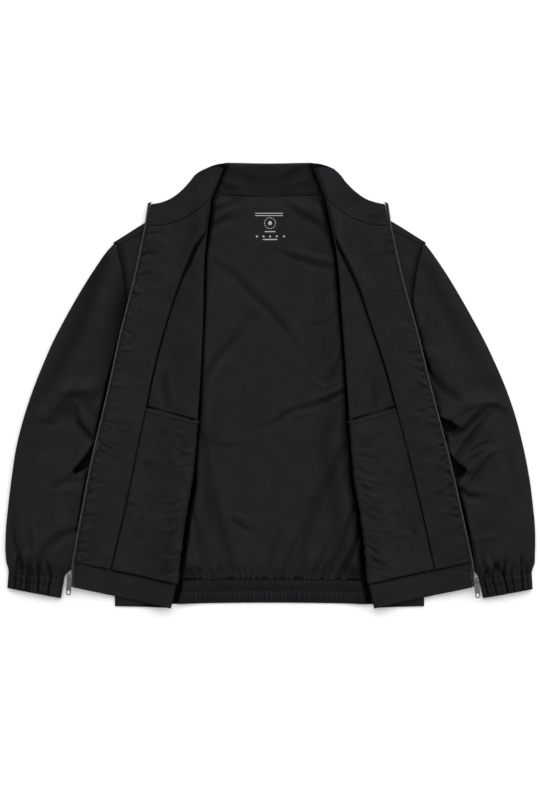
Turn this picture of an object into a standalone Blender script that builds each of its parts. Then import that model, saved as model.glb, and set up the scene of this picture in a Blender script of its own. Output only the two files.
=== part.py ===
"""A track jacket that lies flat on its back, unzipped, with both fronts folded open like a book.

Metres, +Z up, +X across the jacket and +Y towards the collar. It stands on Z = 0 and its origin is
under the middle of its box. The tables below are in millimetres, measured from the middle of the
jacket; "left" and "right" are the sides as seen from above with the collar at the far end.
"""

import math

import bmesh
import bpy
import numpy as np
from mathutils import Matrix, Vector

MM = 0.001  # millimetres to metres

# Cloth, millimetres
WALL = 1.2  # thickness of every cloth piece
GAP = 0.3  # gap between pieces at a seam and between flat layers
CURVED_GAP = 0.6  # gap between layers that are faceted differently
LOW = WALL / 2  # middle of a layer that lies on the ground
HIGH = 1.5 * WALL + GAP  # middle of the layer that lies on the low one
FOLD_RADIUS = 3.2  # soft fold where a front turns back over itself
EDGE_RADIUS = (HIGH - LOW) / 2  # tight fold where one layer turns over the one below
SEAM_SAG = 12.6  # how far the collar seam dips on the turned-back front

SIDES = {"left": -1, "right": 1}

# Fold line of the fronts, from the hem to the top of the collar: y, left x, right x.
# The first row ends the hem band, the second is its seam, the last but one is the collar seam.
FOLD_LINE = (
    (-369, 162, 172),
    (-330, 153, 163),
    (-235, 142, 154),
    (-165, 130, 142),
    (-40, 118, 131),
    (110, 110, 120),
    (215, 107, 111),
    (307, 97, 93),
    (360, 76, 73),
)

# Outer edge of the zip on the turned-back fronts, same rows of meaning: y, left x, right x
ZIP_EDGE = (
    (-333, 330, 341),
    (-293, 327, 337),
    (-217, 313, 320),
    (-120, 294, 298),
    (-8, 268, 269),
    (90, 247, 245),
    (182, 224, 220),
    (263, 207, 202),
    (300, 202, 197),
)

# Free edge of the front facing, from the hem seam to where it reaches the fold: y, left x, right x
FACING_EDGE = (
    (-305, 264, 275),
    (-192, 238, 250),
    (-113, 222, 231),
    (-34, 205, 210),
    (29, 192, 193),
    (115, 168, 164),
    (170, 149, 144),
    (205, 134, 127),
    (232, 121, 114),
    (250, 108, 107),
)

# Top edge of the collar on the turned-back part, from the fold to the zip: y, left x, right x
COLLAR_TOP = (
    (360, 76, 73),
    (360.5, 95, 92),
    (356, 112, 109),
    (348, 124, 118),
    (339, 131, 125),
    (329, 140, 134),
    (320, 149, 144),
    (310, 163, 158),
    (303, 180, 177),
    (300, 202, 197),
)

# Back part of the collar, from the middle outwards: x, y at the neck seam, y at the top edge
COLLAR_BACK = (
    (0, 313.6, 367.6),
    (30, 314.2, 368),
    (60, 315.4, 368.6),
    (79, 316.2, 368.4),
    (94, 315.8, 365),
    (107, 313.2, 359.5),
)

# Shoulder fold of the back, from the sleeve to the neck: x, y, and the x that it reaches on the front seam
SHOULDER = (
    (259, 236, 255),
    (236, 250.5, 229),
    (208, 268, 200),
    (178, 284, 169),
    (148, 297.5, 140),
    (108, 312, 103),
)

# Plan of the body: half width at the hem seam, at the underarm and at the shoulder point
HEM_HALF = 256.5
HEM_SEAM_Y = -327.0
HEM_Y = -366.0
HEM_RISE = 6.0  # how much higher the hem is in the middle of the back
UNDERARM = (285.0, -60.0)
SHOULDER_POINT = (255.0, 231.5)
ARMHOLE_BOW = 31.0  # how far the armhole bows inwards from its chord
ARMHOLE_GAP = 1.9  # between the body and the sleeve, whose facets differ along the curve

# Outline of the sleeves, shoulder or underarm to cuff seam: y, left x, right x
SLEEVE_OUTER = (
    (239.5, 262, 262),
    (200, 289, 284),
    (150, 319, 315),
    (100, 346, 341),
    (51, 369, 366),
    (1, 389, 389),
    (-49, 406, 406),
    (-99, 419, 419),
    (-149, 428, 428),
    (-198, 434, 435),
    (-248, 438.5, 438.5),
    (-285, 438.5, 438.5),
    (-302, 435, 436),
    (-309, 431, 432),
)
SLEEVE_INNER = (
    (-62.5, 287.5, 287.5),
    (-105, 289, 289),
    (-150, 291, 292),
    (-200, 298, 301),
    (-245, 308, 314),
    (-285, 321, 329),
    (-308, 334, 341),
    (-320.5, 340, 345),
)
# Height of the filled-out sleeve along its length, from 0 at the armhole to 1 at the cuff
SLEEVE_HEIGHT = (
    (0.0, 2 * WALL + GAP),
    (0.08, 9),
    (0.2, 15),
    (0.45, 18),
    (0.75, 19),
    (0.93, 17.5),
    (1.0, 11),
)
# Cuff corners, at the seam and at the opening: outer y, outer left x, outer right x, then the inner ones
CUFF_SEAM = ((-309.5, 431, 432), (-321, 340, 345))
CUFF_END = ((-336.5, 432, 433), (-351.5, 345, 350))
CUFF_HEIGHT = 11.0
CUFF_PLEATS = 9
CUFF_PLEAT_DEPTH = 1.2
CROWN_POWER = 2.6  # how square the crown of a sleeve's section is
CROWN_STEPS = 14
SLEEVE_FAN = 1.25  # how the sections fan out round the underarm

# Height of the turned-back front above the ground, from the hem (0) to the collar seam (1):
# fraction, height in the middle of the flap, height at the zip
FLAP_HEIGHT = (
    (0.0, 6.0, 12.0),
    (0.08, 6.2, 15.5),
    (0.16, 6.4, 18.5),
    (0.28, 6.4, 19.5),
    (0.45, 6.0, 17.5),
    (0.65, 5.8, 13.0),
    (0.85, 5.6, 9.0),
    (1.0, 5.8, 8.0),
)
FLAP_MIDDLE = 0.4  # fraction of the flap's width where it lies lowest

POCKET_TOP = {"fold": -59.0, "facing": -36.0}  # height of the pocket's opening edge, y
POCKET_TUCK = 8.0  # width of the pocket that lies under the facing
FACING_LIFT = 1.8  # how far the free edge of the facing stands off the front
LIFT_FULL = 10.0  # width of the facing that stands off fully
LIFT_WIDTH = 20.0  # width of the facing that rises to its free edge

# Zip, millimetres
TAPE_WIDTH = 5.0
TAPE_WALL = 1.0
COIL_WIDTH = 2.6
COIL_HEIGHT = 1.6
SLIDER_LENGTH = 11.0
SLIDER_WIDTH = 8.6
SLIDER_PLATE = 1.2
SLIDER_OFFSET = 1.6  # centre line of the slider outside the zip's edge
SLIDER_FROM_END = {"left": 15.0, "right": 10.0}  # centre of the slider from the lower end of the zip
WEB_WIDTH = 1.8  # the slider's divider between its two channels
BRIDGE_LENGTH = 7.6
BRIDGE_HEIGHT = 3.6
BRIDGE_WIDTH = 2.0
BRIDGE_BAR = 1.1
PIVOT_HEIGHT = 1.25  # pull tab's pivot above the slider's upper plate
PULL_LENGTH = 30.0
PULL_WIDTH = 8.4
PULL_WALL = 1.3
PULL_SLOT = (3.4, 5.0)  # width and far end of the slot that the bridge passes through
PULL_HOLE = (4.6, 6.6)  # width and length of the oblong hole at the tip
PULL_TILT = 4.0  # degrees that the pull hangs below the slider's plane
END_ROUND_STEPS = 6

BLACK_CLOTH = (0.0115, 0.0115, 0.0125, 1.0)
COIL_GREY = (0.05, 0.05, 0.053, 1.0)
STEEL = (0.56, 0.56, 0.57, 1.0)


# --- small maths -------------------------------------------------------------------------------


def smooth(value):
    """0 to 1 with level ends."""
    value = min(max(value, 0.0), 1.0)
    return value * value * (3 - 2 * value)


def mix(start, end, share):
    return start + (end - start) * share


def outline(table, side):
    """The plan points of a y, left x, right x table on one side."""
    column = 1 if side == "left" else 2
    return np.array([(SIDES[side] * row[column], row[0]) for row in table], float)


def along(points, share):
    """The point at a fraction of a smooth curve through the points."""
    points = np.asarray(points, float)
    steps = np.linalg.norm(np.diff(points, axis=0), axis=1)
    place = np.concatenate(([0.0], np.cumsum(steps))) / steps.sum()
    slopes = np.gradient(points, place, axis=0)
    share = min(max(share, 0.0), 1.0)
    index = min(int(np.searchsorted(place, share, side="right")) - 1, len(steps) - 1)
    span = place[index + 1] - place[index]
    u = (share - place[index]) / span
    start = (1 + 2 * u) * (1 - u) ** 2 * points[index] + u * (1 - u) ** 2 * span * slopes[index]
    end = u * u * (3 - 2 * u) * points[index + 1] + u * u * (u - 1) * span * slopes[index + 1]
    return start + end


def unit(vector):
    return vector / np.linalg.norm(vector)


def solve(target, function):
    """The fraction at which a rising function reaches the target."""
    low, high = 0.0, 1.0
    for _ in range(30):
        middle = (low + high) / 2
        if function(middle) < target:
            low = middle
        else:
            high = middle
    return (low + high) / 2


# --- making objects ----------------------------------------------------------------------------


def clear_scene():
    for item in list(bpy.data.objects):
        bpy.data.objects.remove(item, do_unlink=True)


def finish(name, mesh, colour, roughness, metallic):
    """An object of the mesh, with its own material."""
    material = bpy.data.materials.new(name)
    material.use_nodes = True
    shader = material.node_tree.nodes["Principled BSDF"]
    shader.inputs["Base Color"].default_value = colour
    shader.inputs["Roughness"].default_value = roughness
    shader.inputs["Metallic"].default_value = metallic
    mesh.materials.append(material)
    item = bpy.data.objects.new(name, mesh)
    bpy.context.scene.collection.objects.link(item)
    return item


def sheet_mesh(name, grids):
    """One open mesh of several grids of points in millimetres; grids that share an edge are joined."""
    work = bmesh.new()
    for grid in grids:
        rows = [[work.verts.new(np.asarray(point) * MM) for point in row] for row in grid]
        for low, high in zip(rows, rows[1:]):
            for i in range(len(low) - 1):
                work.faces.new((low[i], low[i + 1], high[i + 1], high[i]))
    bmesh.ops.remove_doubles(work, verts=work.verts[:], dist=0.00001)
    bmesh.ops.recalc_face_normals(work, faces=work.faces[:])
    mesh = bpy.data.meshes.new(name)
    work.to_mesh(mesh)
    work.free()
    return mesh


def cloth(name, grids):
    """A cloth piece: its middle surface, given an even wall."""
    item = finish(name, sheet_mesh(name, grids), BLACK_CLOTH, 0.6, 0.0)
    thickness = item.modifiers.new("wall", "SOLIDIFY")
    thickness.thickness = WALL * MM
    thickness.offset = 0.0
    thickness.use_even_offset = True
    thickness.use_quality_normals = True
    return item


# --- plan of the body ---------------------------------------------------------------------------


def armhole(share, side):
    """Armhole seam from the underarm (0) to the shoulder point (1)."""
    sign = SIDES[side]
    chord = mix(np.array(UNDERARM), np.array(SHOULDER_POINT), share)
    bow = ARMHOLE_BOW * 4 * share * (1 - share)
    return np.array((sign * (chord[0] - bow), chord[1]))


def body_edge(side):
    """Side seam and armhole, from the hem seam to the shoulder point."""
    start = np.array((SIDES[side] * HEM_HALF, HEM_SEAM_Y))
    seam = [mix(start, armhole(0.0, side), k / 4) for k in range(4)]
    return np.array(seam + [armhole(k / 8, side) for k in range(9)])


def hem_line(x, level):
    """Height of the hem seam (level 0) or the hem (level 1) of the back, a little higher in the middle."""
    rise = HEM_RISE * (1 - (x / HEM_HALF) ** 2)
    return mix(HEM_SEAM_Y, HEM_Y, level) + rise


# --- the fronts --------------------------------------------------------------------------------


def flap_height(row, across):
    """Height of the middle of the turned-back front."""
    fractions = [entry[0] for entry in FLAP_HEIGHT]
    middle = np.interp(row, fractions, [entry[1] for entry in FLAP_HEIGHT])
    zip_side = np.interp(row, fractions, [entry[2] for entry in FLAP_HEIGHT])
    if across < FLAP_MIDDLE:
        return mix(HIGH + 2 * FOLD_RADIUS, middle, smooth(across / FLAP_MIDDLE))
    return mix(middle, zip_side, smooth((across - FLAP_MIDDLE) / (1 - FLAP_MIDDLE)))


class Front:
    """The plan of one front: the fold line, the zip's edge and the side, row by row."""

    def __init__(self, side):
        self.side = side
        fold = outline(FOLD_LINE, side)
        edge = outline(ZIP_EDGE, side)
        self.folds = (fold[:2], fold[1:-1])
        self.edges = (edge[:2], edge[1:-1])
        side_edge = body_edge(side)
        hem = np.array((side_edge[0][0], HEM_Y))
        self.sides = (np.array((hem, side_edge[0])), side_edge)

    def row(self, share, part=1):
        """Side, fold centre, cloth edge and zip edge at a fraction of the body (1) or hem band (0)."""
        fold = along(self.folds[part], share)
        edge = along(self.edges[part], share)
        out = unit(edge - fold)
        centre = fold + out * FOLD_RADIUS
        cloth_edge = edge - out * (TAPE_WIDTH + GAP)
        return along(self.sides[part], share), centre, cloth_edge, edge, out

    def flap(self, share, across, part=1):
        """A point of the turned-back front: across is 0 at the fold and 1 at the zip."""
        centre, cloth_edge = self.row(share, part)[1:3]
        plan = mix(centre, cloth_edge, across)
        body_share = share if part == 1 else 0.0
        sag = SEAM_SAG * 4 * across * (1 - across) * smooth((body_share - 0.75) / 0.25)
        return np.array((plan[0], plan[1] - sag, flap_height(body_share, across)))

    def raised(self, share, across, offset):
        """A point at a height above the flap's middle, square to it."""
        step = 0.01
        here = self.flap(share, across)
        wide = self.flap(share, min(across + step, 1.0)) - self.flap(share, max(across - step, 0.0))
        tall = self.flap(min(share + step, 1.0), across) - self.flap(max(share - step, 0.0), across)
        normal = unit(np.cross(wide, tall))
        normal = normal if normal[2] > 0 else -normal
        return here + normal * offset

    def section(self, share, part=1):
        """One row of the front: under layer, soft fold, flap."""
        side, centre, _, _, out = self.row(share, part)
        start = side - unit(side - centre) * GAP
        lower = [(*mix(start, centre, k / 5), HIGH) for k in range(5)]
        fold = []
        for k in range(7):
            angle = math.pi * k / 6
            plan = centre - out * FOLD_RADIUS * math.sin(angle)
            fold.append((*plan, HIGH + FOLD_RADIUS * (1 - math.cos(angle))))
        flap = [self.flap(share, k / 8, part) for k in range(1, 9)]
        return lower + fold + flap

    def facing_edge(self, share):
        """Where the facing's free edge crosses a row, 0 at the fold."""
        edge = outline(FACING_EDGE, self.side)
        order = np.argsort(edge[:, 1])

        def outside(across):
            point = self.flap(share, across)
            limit = abs(np.interp(point[1], edge[order, 1], edge[order, 0]))
            if point[1] > edge[order, 1][-1]:
                limit = 0.0
            return abs(point[0]) - limit

        if outside(0.0) > 0:
            return 0.0
        return solve(0.0, outside)


def build_front(front):
    rows = [front.section(k / 16) for k in range(17)]
    rows[0] = [np.array(point) + (0, GAP / 2, 0) for point in rows[0]]
    rows[-1] = [np.array(point) - (0, GAP / 2, 0) for point in rows[-1]]
    cloth(f"front_{front.side}", [rows])
    band = [front.section(share, part=0) for share in (0.0, 0.5, 1.0)]
    band[-1] = [np.array(point) - (0, GAP / 2, 0) for point in band[-1]]
    cloth(f"hem_front_{front.side}", [band])


def build_facing(front):
    """The facing behind the zip, from its free edge to the zip tape, standing off at the free edge."""
    rows = []
    for k in range(17):
        share = mix(0.004, 0.996, k / 16)
        start = front.facing_edge(share)
        width = np.linalg.norm(np.subtract(*front.row(share)[1:3]))
        row = []
        reach = (1.0 - start) * width
        distances = [0.0, LIFT_FULL, LIFT_WIDTH] + [mix(LIFT_WIDTH, reach, k / 3) for k in (1, 2, 3)]
        for distance in distances:
            lift = FACING_LIFT if distance <= LIFT_FULL else 0.0
            row.append(front.raised(share, start + distance / width, WALL + CURVED_GAP + lift))
        rows.append(row)
    cloth(f"facing_{front.side}", [rows])


def build_pocket(front):
    """The pocket bag on the inner face, from the hem seam up, tucked under the facing."""
    rows = []
    for k in range(9):
        row = []
        for step in range(8):
            level = k / 8
            share = 0.2 * level
            across = 0.0
            for _ in range(4):  # the row and its outer end depend on each other
                width = np.linalg.norm(np.subtract(*front.row(share)[1:3]))
                reach = front.facing_edge(share) + POCKET_TUCK / width
                across = mix(0.01, reach, step / 7)
                top_y = mix(POCKET_TOP["fold"], POCKET_TOP["facing"], step / 7)
                top = solve(top_y, lambda value: front.flap(value, across)[1])
                share = mix(0.004, top, level)
            row.append(front.raised(share, across, WALL + CURVED_GAP))
        rows.append(row)
    cloth(f"pocket_{front.side}", [rows])


# --- back, hem and collar ----------------------------------------------------------------------


def build_back(fronts):
    """The back, flat on the ground, with its shoulders turned over to the front seam."""
    rows = []
    columns = np.linspace(-1, 1, 15)
    edges = {side: body_edge(side) for side in SIDES}
    for k in range(15):
        share = k / 14
        left = along(edges["left"], share)
        right = along(edges["right"], share)
        left[0] += GAP / 2
        right[0] -= GAP / 2
        row = []
        for column in columns:
            x = mix(left[0], right[0], (column + 1) / 2)
            seam_y = hem_line(x, 0.0) + GAP / 2
            y = seam_y if k == 0 else max(left[1], seam_y)
            row.append((x, y, LOW))
        rows.append(row)
    for x, y, _ in SHOULDER:
        half = x
        top = []
        for column in columns:
            sag = 0.0
            if (x, y) == SHOULDER[-1][:2]:
                sag = np.interp(abs(column * half), [c[0] for c in COLLAR_BACK], [c[1] for c in COLLAR_BACK])
                sag = y - (sag - GAP)
            top.append((column * half, y - sag, LOW))
        rows.append(top)
    strips = [shoulder_strip(front) for front in fronts.values()]
    cloth("back", [rows] + strips)


def shoulder_strip(front):
    """The part of the back that turns over the shoulder to the seam of the front."""
    sign = SIDES[front.side]
    neck = front.row(1.0)[1]
    rows = []
    for x, y, seam_x in SHOULDER:
        start = np.array((sign * x, y))
        share = (seam_x - SHOULDER_POINT[0]) / (abs(neck[0]) - SHOULDER_POINT[0])
        seam = np.array((sign * seam_x, mix(SHOULDER_POINT[1], neck[1], share) + GAP))
        inward = unit(seam - start)
        row = []
        for k in range(5):
            angle = math.pi * k / 4
            plan = start - inward * EDGE_RADIUS * math.sin(angle)
            row.append((*plan, LOW + EDGE_RADIUS * (1 - math.cos(angle))))
        row += [(*mix(start, seam, share), HIGH) for share in (0.5, 1.0)]
        rows.append(row)
    return rows


def build_hem_back():
    """The elastic band of the back, from side seam to side seam."""
    rows = []
    for level in (0.0, 0.5, 1.0):
        row = []
        for column in np.linspace(-1, 1, 19):
            x = column * (HEM_HALF - GAP)
            y = hem_line(x, level) - (GAP / 2 if level == 0.0 else 0.0)
            row.append((x, y, LOW))
        rows.append(row)
    cloth("hem_back", [rows])


def collar_row(front, level):
    """Half a collar row, from the middle of the back out, in, and out again to the zip."""
    sign = SIDES[front.side]
    row = [(sign * x, mix(low, high, level), LOW) for x, low, high in COLLAR_BACK[:-1]]
    outer = COLLAR_BACK[-1]
    outer_y = mix(outer[1], outer[2], level)
    for k in range(5):
        angle = math.pi * k / 4
        reach = outer[0] + EDGE_RADIUS * math.sin(angle)
        row.append((sign * reach, outer_y, LOW + EDGE_RADIUS * (1 - math.cos(angle))))
    fold = outline(FOLD_LINE, front.side)
    seam_fold, out = front.row(1.0)[1], front.row(1.0)[4]
    lower_fold = seam_fold - out * FOLD_RADIUS + (0, GAP)
    point = mix(lower_fold, fold[-1], level)
    out = unit(mix(out, np.array((sign, 0.0)), level))
    centre = point + out * FOLD_RADIUS
    row.append((*mix(np.array(row[-1][:2]), centre, 0.5), HIGH))
    for k in range(7):
        angle = math.pi * k / 6
        plan = centre - out * FOLD_RADIUS * math.sin(angle)
        row.append((*plan, HIGH + FOLD_RADIUS * (1 - math.cos(angle))))
    top = outline(COLLAR_TOP, front.side)
    end = top[-1] - (sign * (TAPE_WIDTH + GAP), 0)
    top = np.vstack((point_top(fold[-1], sign), top[1:-1], end))
    for k in range(1, 13):
        across = k / 12
        low = front.flap(1.0, across)
        low[1] += GAP
        high = along(top, across)
        row.append((*mix(low[:2], high, level), low[2]))
    return row


def point_top(fold_top, sign):
    """Centre of the collar's soft fold at its top edge."""
    return fold_top + np.array((sign * FOLD_RADIUS, 0.0))


def build_collar(fronts):
    """The stand collar: flat at the back of the neck, folded out and back at each side."""
    rows = []
    for level in np.linspace(0, 1, 5):
        left = collar_row(fronts["left"], level)
        right = collar_row(fronts["right"], level)
        rows.append(left[:0:-1] + right)
    cloth("collar", [rows])


# --- sleeves -----------------------------------------------------------------------------------


def ring(inner, outer, height, inset, bow=None, wave=None):
    """A flattened tube section between two plan points, flat below and crowned above, moved in by inset."""
    low, high = inset, height - inset
    edge = min(5.5, height / 2)
    width = np.linalg.norm(outer - inner)
    start = mix(inner, outer, inset / width)
    end = mix(outer, inner, inset / width)
    flat = 1 - 2 * min(edge, width / 4) / width
    points = [(q, low) for q in np.linspace(-flat, flat, 6)]
    corner = []
    for k in (1, 2):
        angle = math.pi / 2 * k / 3
        corner.append((flat + (1 - flat) * math.sin(angle), low + (edge - low) * (1 - math.cos(angle))))
    points += corner
    for k in range(CROWN_STEPS + 1):
        q = math.cos(math.pi * k / CROWN_STEPS)
        rise = math.sqrt(max(1 - abs(q) ** CROWN_POWER, 0.0))
        points.append((q, edge + (high - edge) * rise))
    points += [(-q, z) for q, z in reversed(corner)]
    result = []
    for q, z in points:
        share = (q + 1) / 2
        plan = mix(start, end, share)
        if bow is not None:
            plan = plan + bow(share)
        if wave is not None and z > edge:
            z += wave(q) * (z - edge) / (high - edge)
        result.append((*plan, z))
    return result


def tube(name, outsides, insides):
    """A closed tube of cloth, open at both ends, from matching outer and inner rings."""
    work = bmesh.new()
    shells = []
    for rings in (outsides, insides):
        shells.append([[work.verts.new(Vector(point) * MM) for point in loop] for loop in rings])
    count = len(outsides[0])
    for loops in shells:
        for low, high in zip(loops, loops[1:]):
            for i in range(count):
                k = (i + 1) % count
                work.faces.new((low[i], low[k], high[k], high[i]))
    for station in (0, -1):
        outside, inside = shells[0][station], shells[1][station]
        for i in range(count):
            k = (i + 1) % count
            work.faces.new((outside[i], outside[k], inside[k], inside[i]))
    bmesh.ops.recalc_face_normals(work, faces=work.faces[:])
    mesh = bpy.data.meshes.new(name)
    work.to_mesh(mesh)
    work.free()
    return finish(name, mesh, BLACK_CLOTH, 0.6, 0.0)


def armhole_rim(share, side):
    """The sleeve's side of the armhole seam, which runs on over the turned shoulder."""
    over = smooth((share - 0.93) / 0.07)
    past = np.array((SLEEVE_OUTER[0][1], SLEEVE_OUTER[0][0])) - SHOULDER_POINT
    reach = np.array((ARMHOLE_GAP, 0.0)) + past * over
    return armhole(share, side) + reach * (SIDES[side], 1)


def sleeve_ring(side, share, inset):
    """The section of a sleeve at a fraction of its length."""
    fractions = [entry[0] for entry in SLEEVE_HEIGHT]
    height = np.interp(share, fractions, [entry[1] for entry in SLEEVE_HEIGHT])
    follow = smooth(1 - share / 0.35)
    start = along(outline(SLEEVE_INNER, side), share ** SLEEVE_FAN)
    end = along(outline(SLEEVE_OUTER, side), share)

    def bow(across):
        """Pulls the sections near the armhole onto its curve."""
        return follow * (armhole_rim(across, side) - mix(start, end, across))

    return ring(start, end, height, inset, bow)


def build_sleeve(side):
    """The set-in sleeve, a flattened tube from the armhole to the cuff."""
    shares = np.linspace(0, 1, 19)
    shells = [[sleeve_ring(side, share, inset) for share in shares] for inset in (0.0, WALL)]
    tube(f"sleeve_{side}", *shells)


def cuff_ring(side, share, inset):
    """The section of a cuff at a fraction of its length, with its gathers as shallow waves."""
    corners = []
    for corner in (1, 0):
        start = outline((CUFF_SEAM[corner],), side)[0]
        end = outline((CUFF_END[corner],), side)[0]
        shift = unit(end - start) * GAP if share == 0.0 else 0.0
        corners.append(mix(start, end, share) + shift)

    def wave(across):
        return CUFF_PLEAT_DEPTH * (math.cos(CUFF_PLEATS * math.pi * (across + 1) / 2) - 1) / 2

    return ring(corners[0], corners[1], CUFF_HEIGHT, inset, wave=wave)


def build_cuff(side):
    """The elastic cuff, a low pleated tube."""
    shares = (0.0, 0.35, 0.7, 1.0)
    shells = [[cuff_ring(side, share, inset) for share in shares] for inset in (0.0, WALL)]
    tube(f"cuff_{side}", *shells)


# --- zip ---------------------------------------------------------------------------------------


def zip_line(front):
    """Stations along the zip from the hem to the collar's top: edge point, inward direction, height."""
    stations = []
    for part, shares in ((0, (0.02, 0.5)), (1, np.linspace(0, 1, 15))):
        for share in shares:
            _, _, _, edge, out = front.row(share, part)
            height = flap_height(share if part else 0.0, 1.0)
            stations.append((edge, -out, height))
    end = outline(ZIP_EDGE, front.side)[-1]
    stations.append((end, np.array((-SIDES[front.side], 0.0)), flap_height(1.0, 1.0)))
    return stations


def strip(name, stations, start, width, bottom, height, colour, roughness):
    """A closed bar along the zip: from start to start + width inside the edge, bottom above the middle."""
    work = bmesh.new()
    loops = []
    for edge, inward, z in stations:
        corners = ((start, 0), (start + width, 0), (start + width, height), (start, height))
        loop = []
        for across, up in corners:
            plan = edge + inward * across
            loop.append(work.verts.new(Vector((*plan, z + bottom + up)) * MM))
        loops.append(loop)
    for low, high in zip(loops, loops[1:]):
        for i in range(4):
            k = (i + 1) % 4
            work.faces.new((low[i], low[k], high[k], high[i]))
    work.faces.new(loops[0][::-1])
    work.faces.new(loops[-1])
    bmesh.ops.recalc_face_normals(work, faces=work.faces[:])
    mesh = bpy.data.meshes.new(name)
    work.to_mesh(mesh)
    work.free()
    return finish(name, mesh, colour, roughness, 0.0)


def build_zip(front):
    stations = zip_line(front)
    side = front.side
    strip(f"zip_tape_{side}", stations, 0.0, TAPE_WIDTH, -TAPE_WALL / 2, TAPE_WALL, COIL_GREY, 0.7)
    bottom = TAPE_WALL / 2 + GAP
    strip(f"zip_coil_{side}", stations, 0.0, COIL_WIDTH, bottom, COIL_HEIGHT, COIL_GREY, 0.45)


def slider_frame(front):
    """Place and turn of a slider: x across the zip, y towards the collar, z up, origin at the tape's middle."""
    line = outline(ZIP_EDGE, front.side)
    up = unit(line[1] - line[0])
    sign = SIDES[front.side]
    out = np.array((up[1], -up[0])) * sign
    place = line[0] + up * SLIDER_FROM_END[front.side] + out * SLIDER_OFFSET
    height = flap_height(0.0, 1.0)
    turn = math.atan2(-up[0], up[1])
    move = Matrix.Translation(Vector((*place, height)) * MM)
    return move @ Matrix.Rotation(turn, 4, "Z")


def prism(name, profile, start, length, axis):
    """A closed prism of a profile; axis "y" runs it along the zip, "x" across it."""
    work = bmesh.new()
    ends = []
    for shift in (start, start + length):
        loop = []
        for a, b in profile:
            point = (a, shift, b) if axis == "y" else (shift, a, b)
            loop.append(work.verts.new(Vector(point) * MM))
        ends.append(loop)
    count = len(profile)
    for i in range(count):
        k = (i + 1) % count
        work.faces.new((ends[0][i], ends[0][k], ends[1][k], ends[1][i]))
    work.faces.new(ends[0])
    work.faces.new(ends[1])
    bmesh.ops.recalc_face_normals(work, faces=work.faces[:])
    mesh = bpy.data.meshes.new(name)
    work.to_mesh(mesh)
    work.free()
    return mesh


def slider_levels():
    """Lower and upper faces of the slider's channel, above the tape's middle."""
    low = -TAPE_WALL / 2 - GAP
    high = TAPE_WALL / 2 + GAP + COIL_HEIGHT + GAP
    return low, high


def build_slider(front):
    """The slider: two plates joined by a web, with a bridge for the pull on top."""
    low, high = slider_levels()
    half = SLIDER_WIDTH / 2
    web = WEB_WIDTH / 2
    profile = (
        (-half, low - SLIDER_PLATE),
        (half, low - SLIDER_PLATE),
        (half, low),
        (web, low),
        (web, high),
        (half, high),
        (half, high + SLIDER_PLATE * 0.6),
        (half - SLIDER_PLATE * 0.6, high + SLIDER_PLATE),
        (-half + SLIDER_PLATE * 0.6, high + SLIDER_PLATE),
        (-half, high + SLIDER_PLATE * 0.6),
        (-half, high),
        (-web, high),
        (-web, low),
        (-half, low),
    )
    name = f"slider_{front.side}"
    body = finish(name, prism(name, profile, -SLIDER_LENGTH / 2, SLIDER_LENGTH, "y"), STEEL, 0.3, 1.0)
    top = high + SLIDER_PLATE
    outer, inner = BRIDGE_LENGTH / 2, BRIDGE_LENGTH / 2 - BRIDGE_BAR
    rise = BRIDGE_HEIGHT
    arch = (
        (-outer, top - 0.5),
        (-outer, top + rise * 0.6),
        (-outer + 1.2, top + rise),
        (outer - 1.2, top + rise),
        (outer, top + rise * 0.6),
        (outer, top - 0.5),
        (inner, top - 0.5),
        (inner, top + rise - BRIDGE_BAR),
        (-inner, top + rise - BRIDGE_BAR),
        (-inner, top - 0.5),
    )
    guide = f"bridge_{front.side}"
    bridge = finish(guide, prism(guide, arch, -BRIDGE_WIDTH / 2, BRIDGE_WIDTH, "x"), STEEL, 0.3, 1.0)
    bridge.hide_render = True
    bridge.display_type = "WIRE"
    place = slider_frame(front)
    body.matrix_world = place
    bridge.matrix_world = place
    union = body.modifiers.new("bridge", "BOOLEAN")
    union.operation = "UNION"
    union.solver = "EXACT"
    union.object = bridge


def rounded_loop(half_width, top, bottom, steps):
    """Points round a slot shape with half-round ends, between two heights along the pull."""
    points = []
    for k in range(steps + 1):
        angle = math.pi * k / steps
        points.append((half_width * math.cos(angle), top - half_width + half_width * math.sin(angle)))
    for k in range(steps + 1):
        angle = math.pi * (1 + k / steps)
        points.append((half_width * math.cos(angle), bottom + half_width + half_width * math.sin(angle)))
    return points


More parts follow.
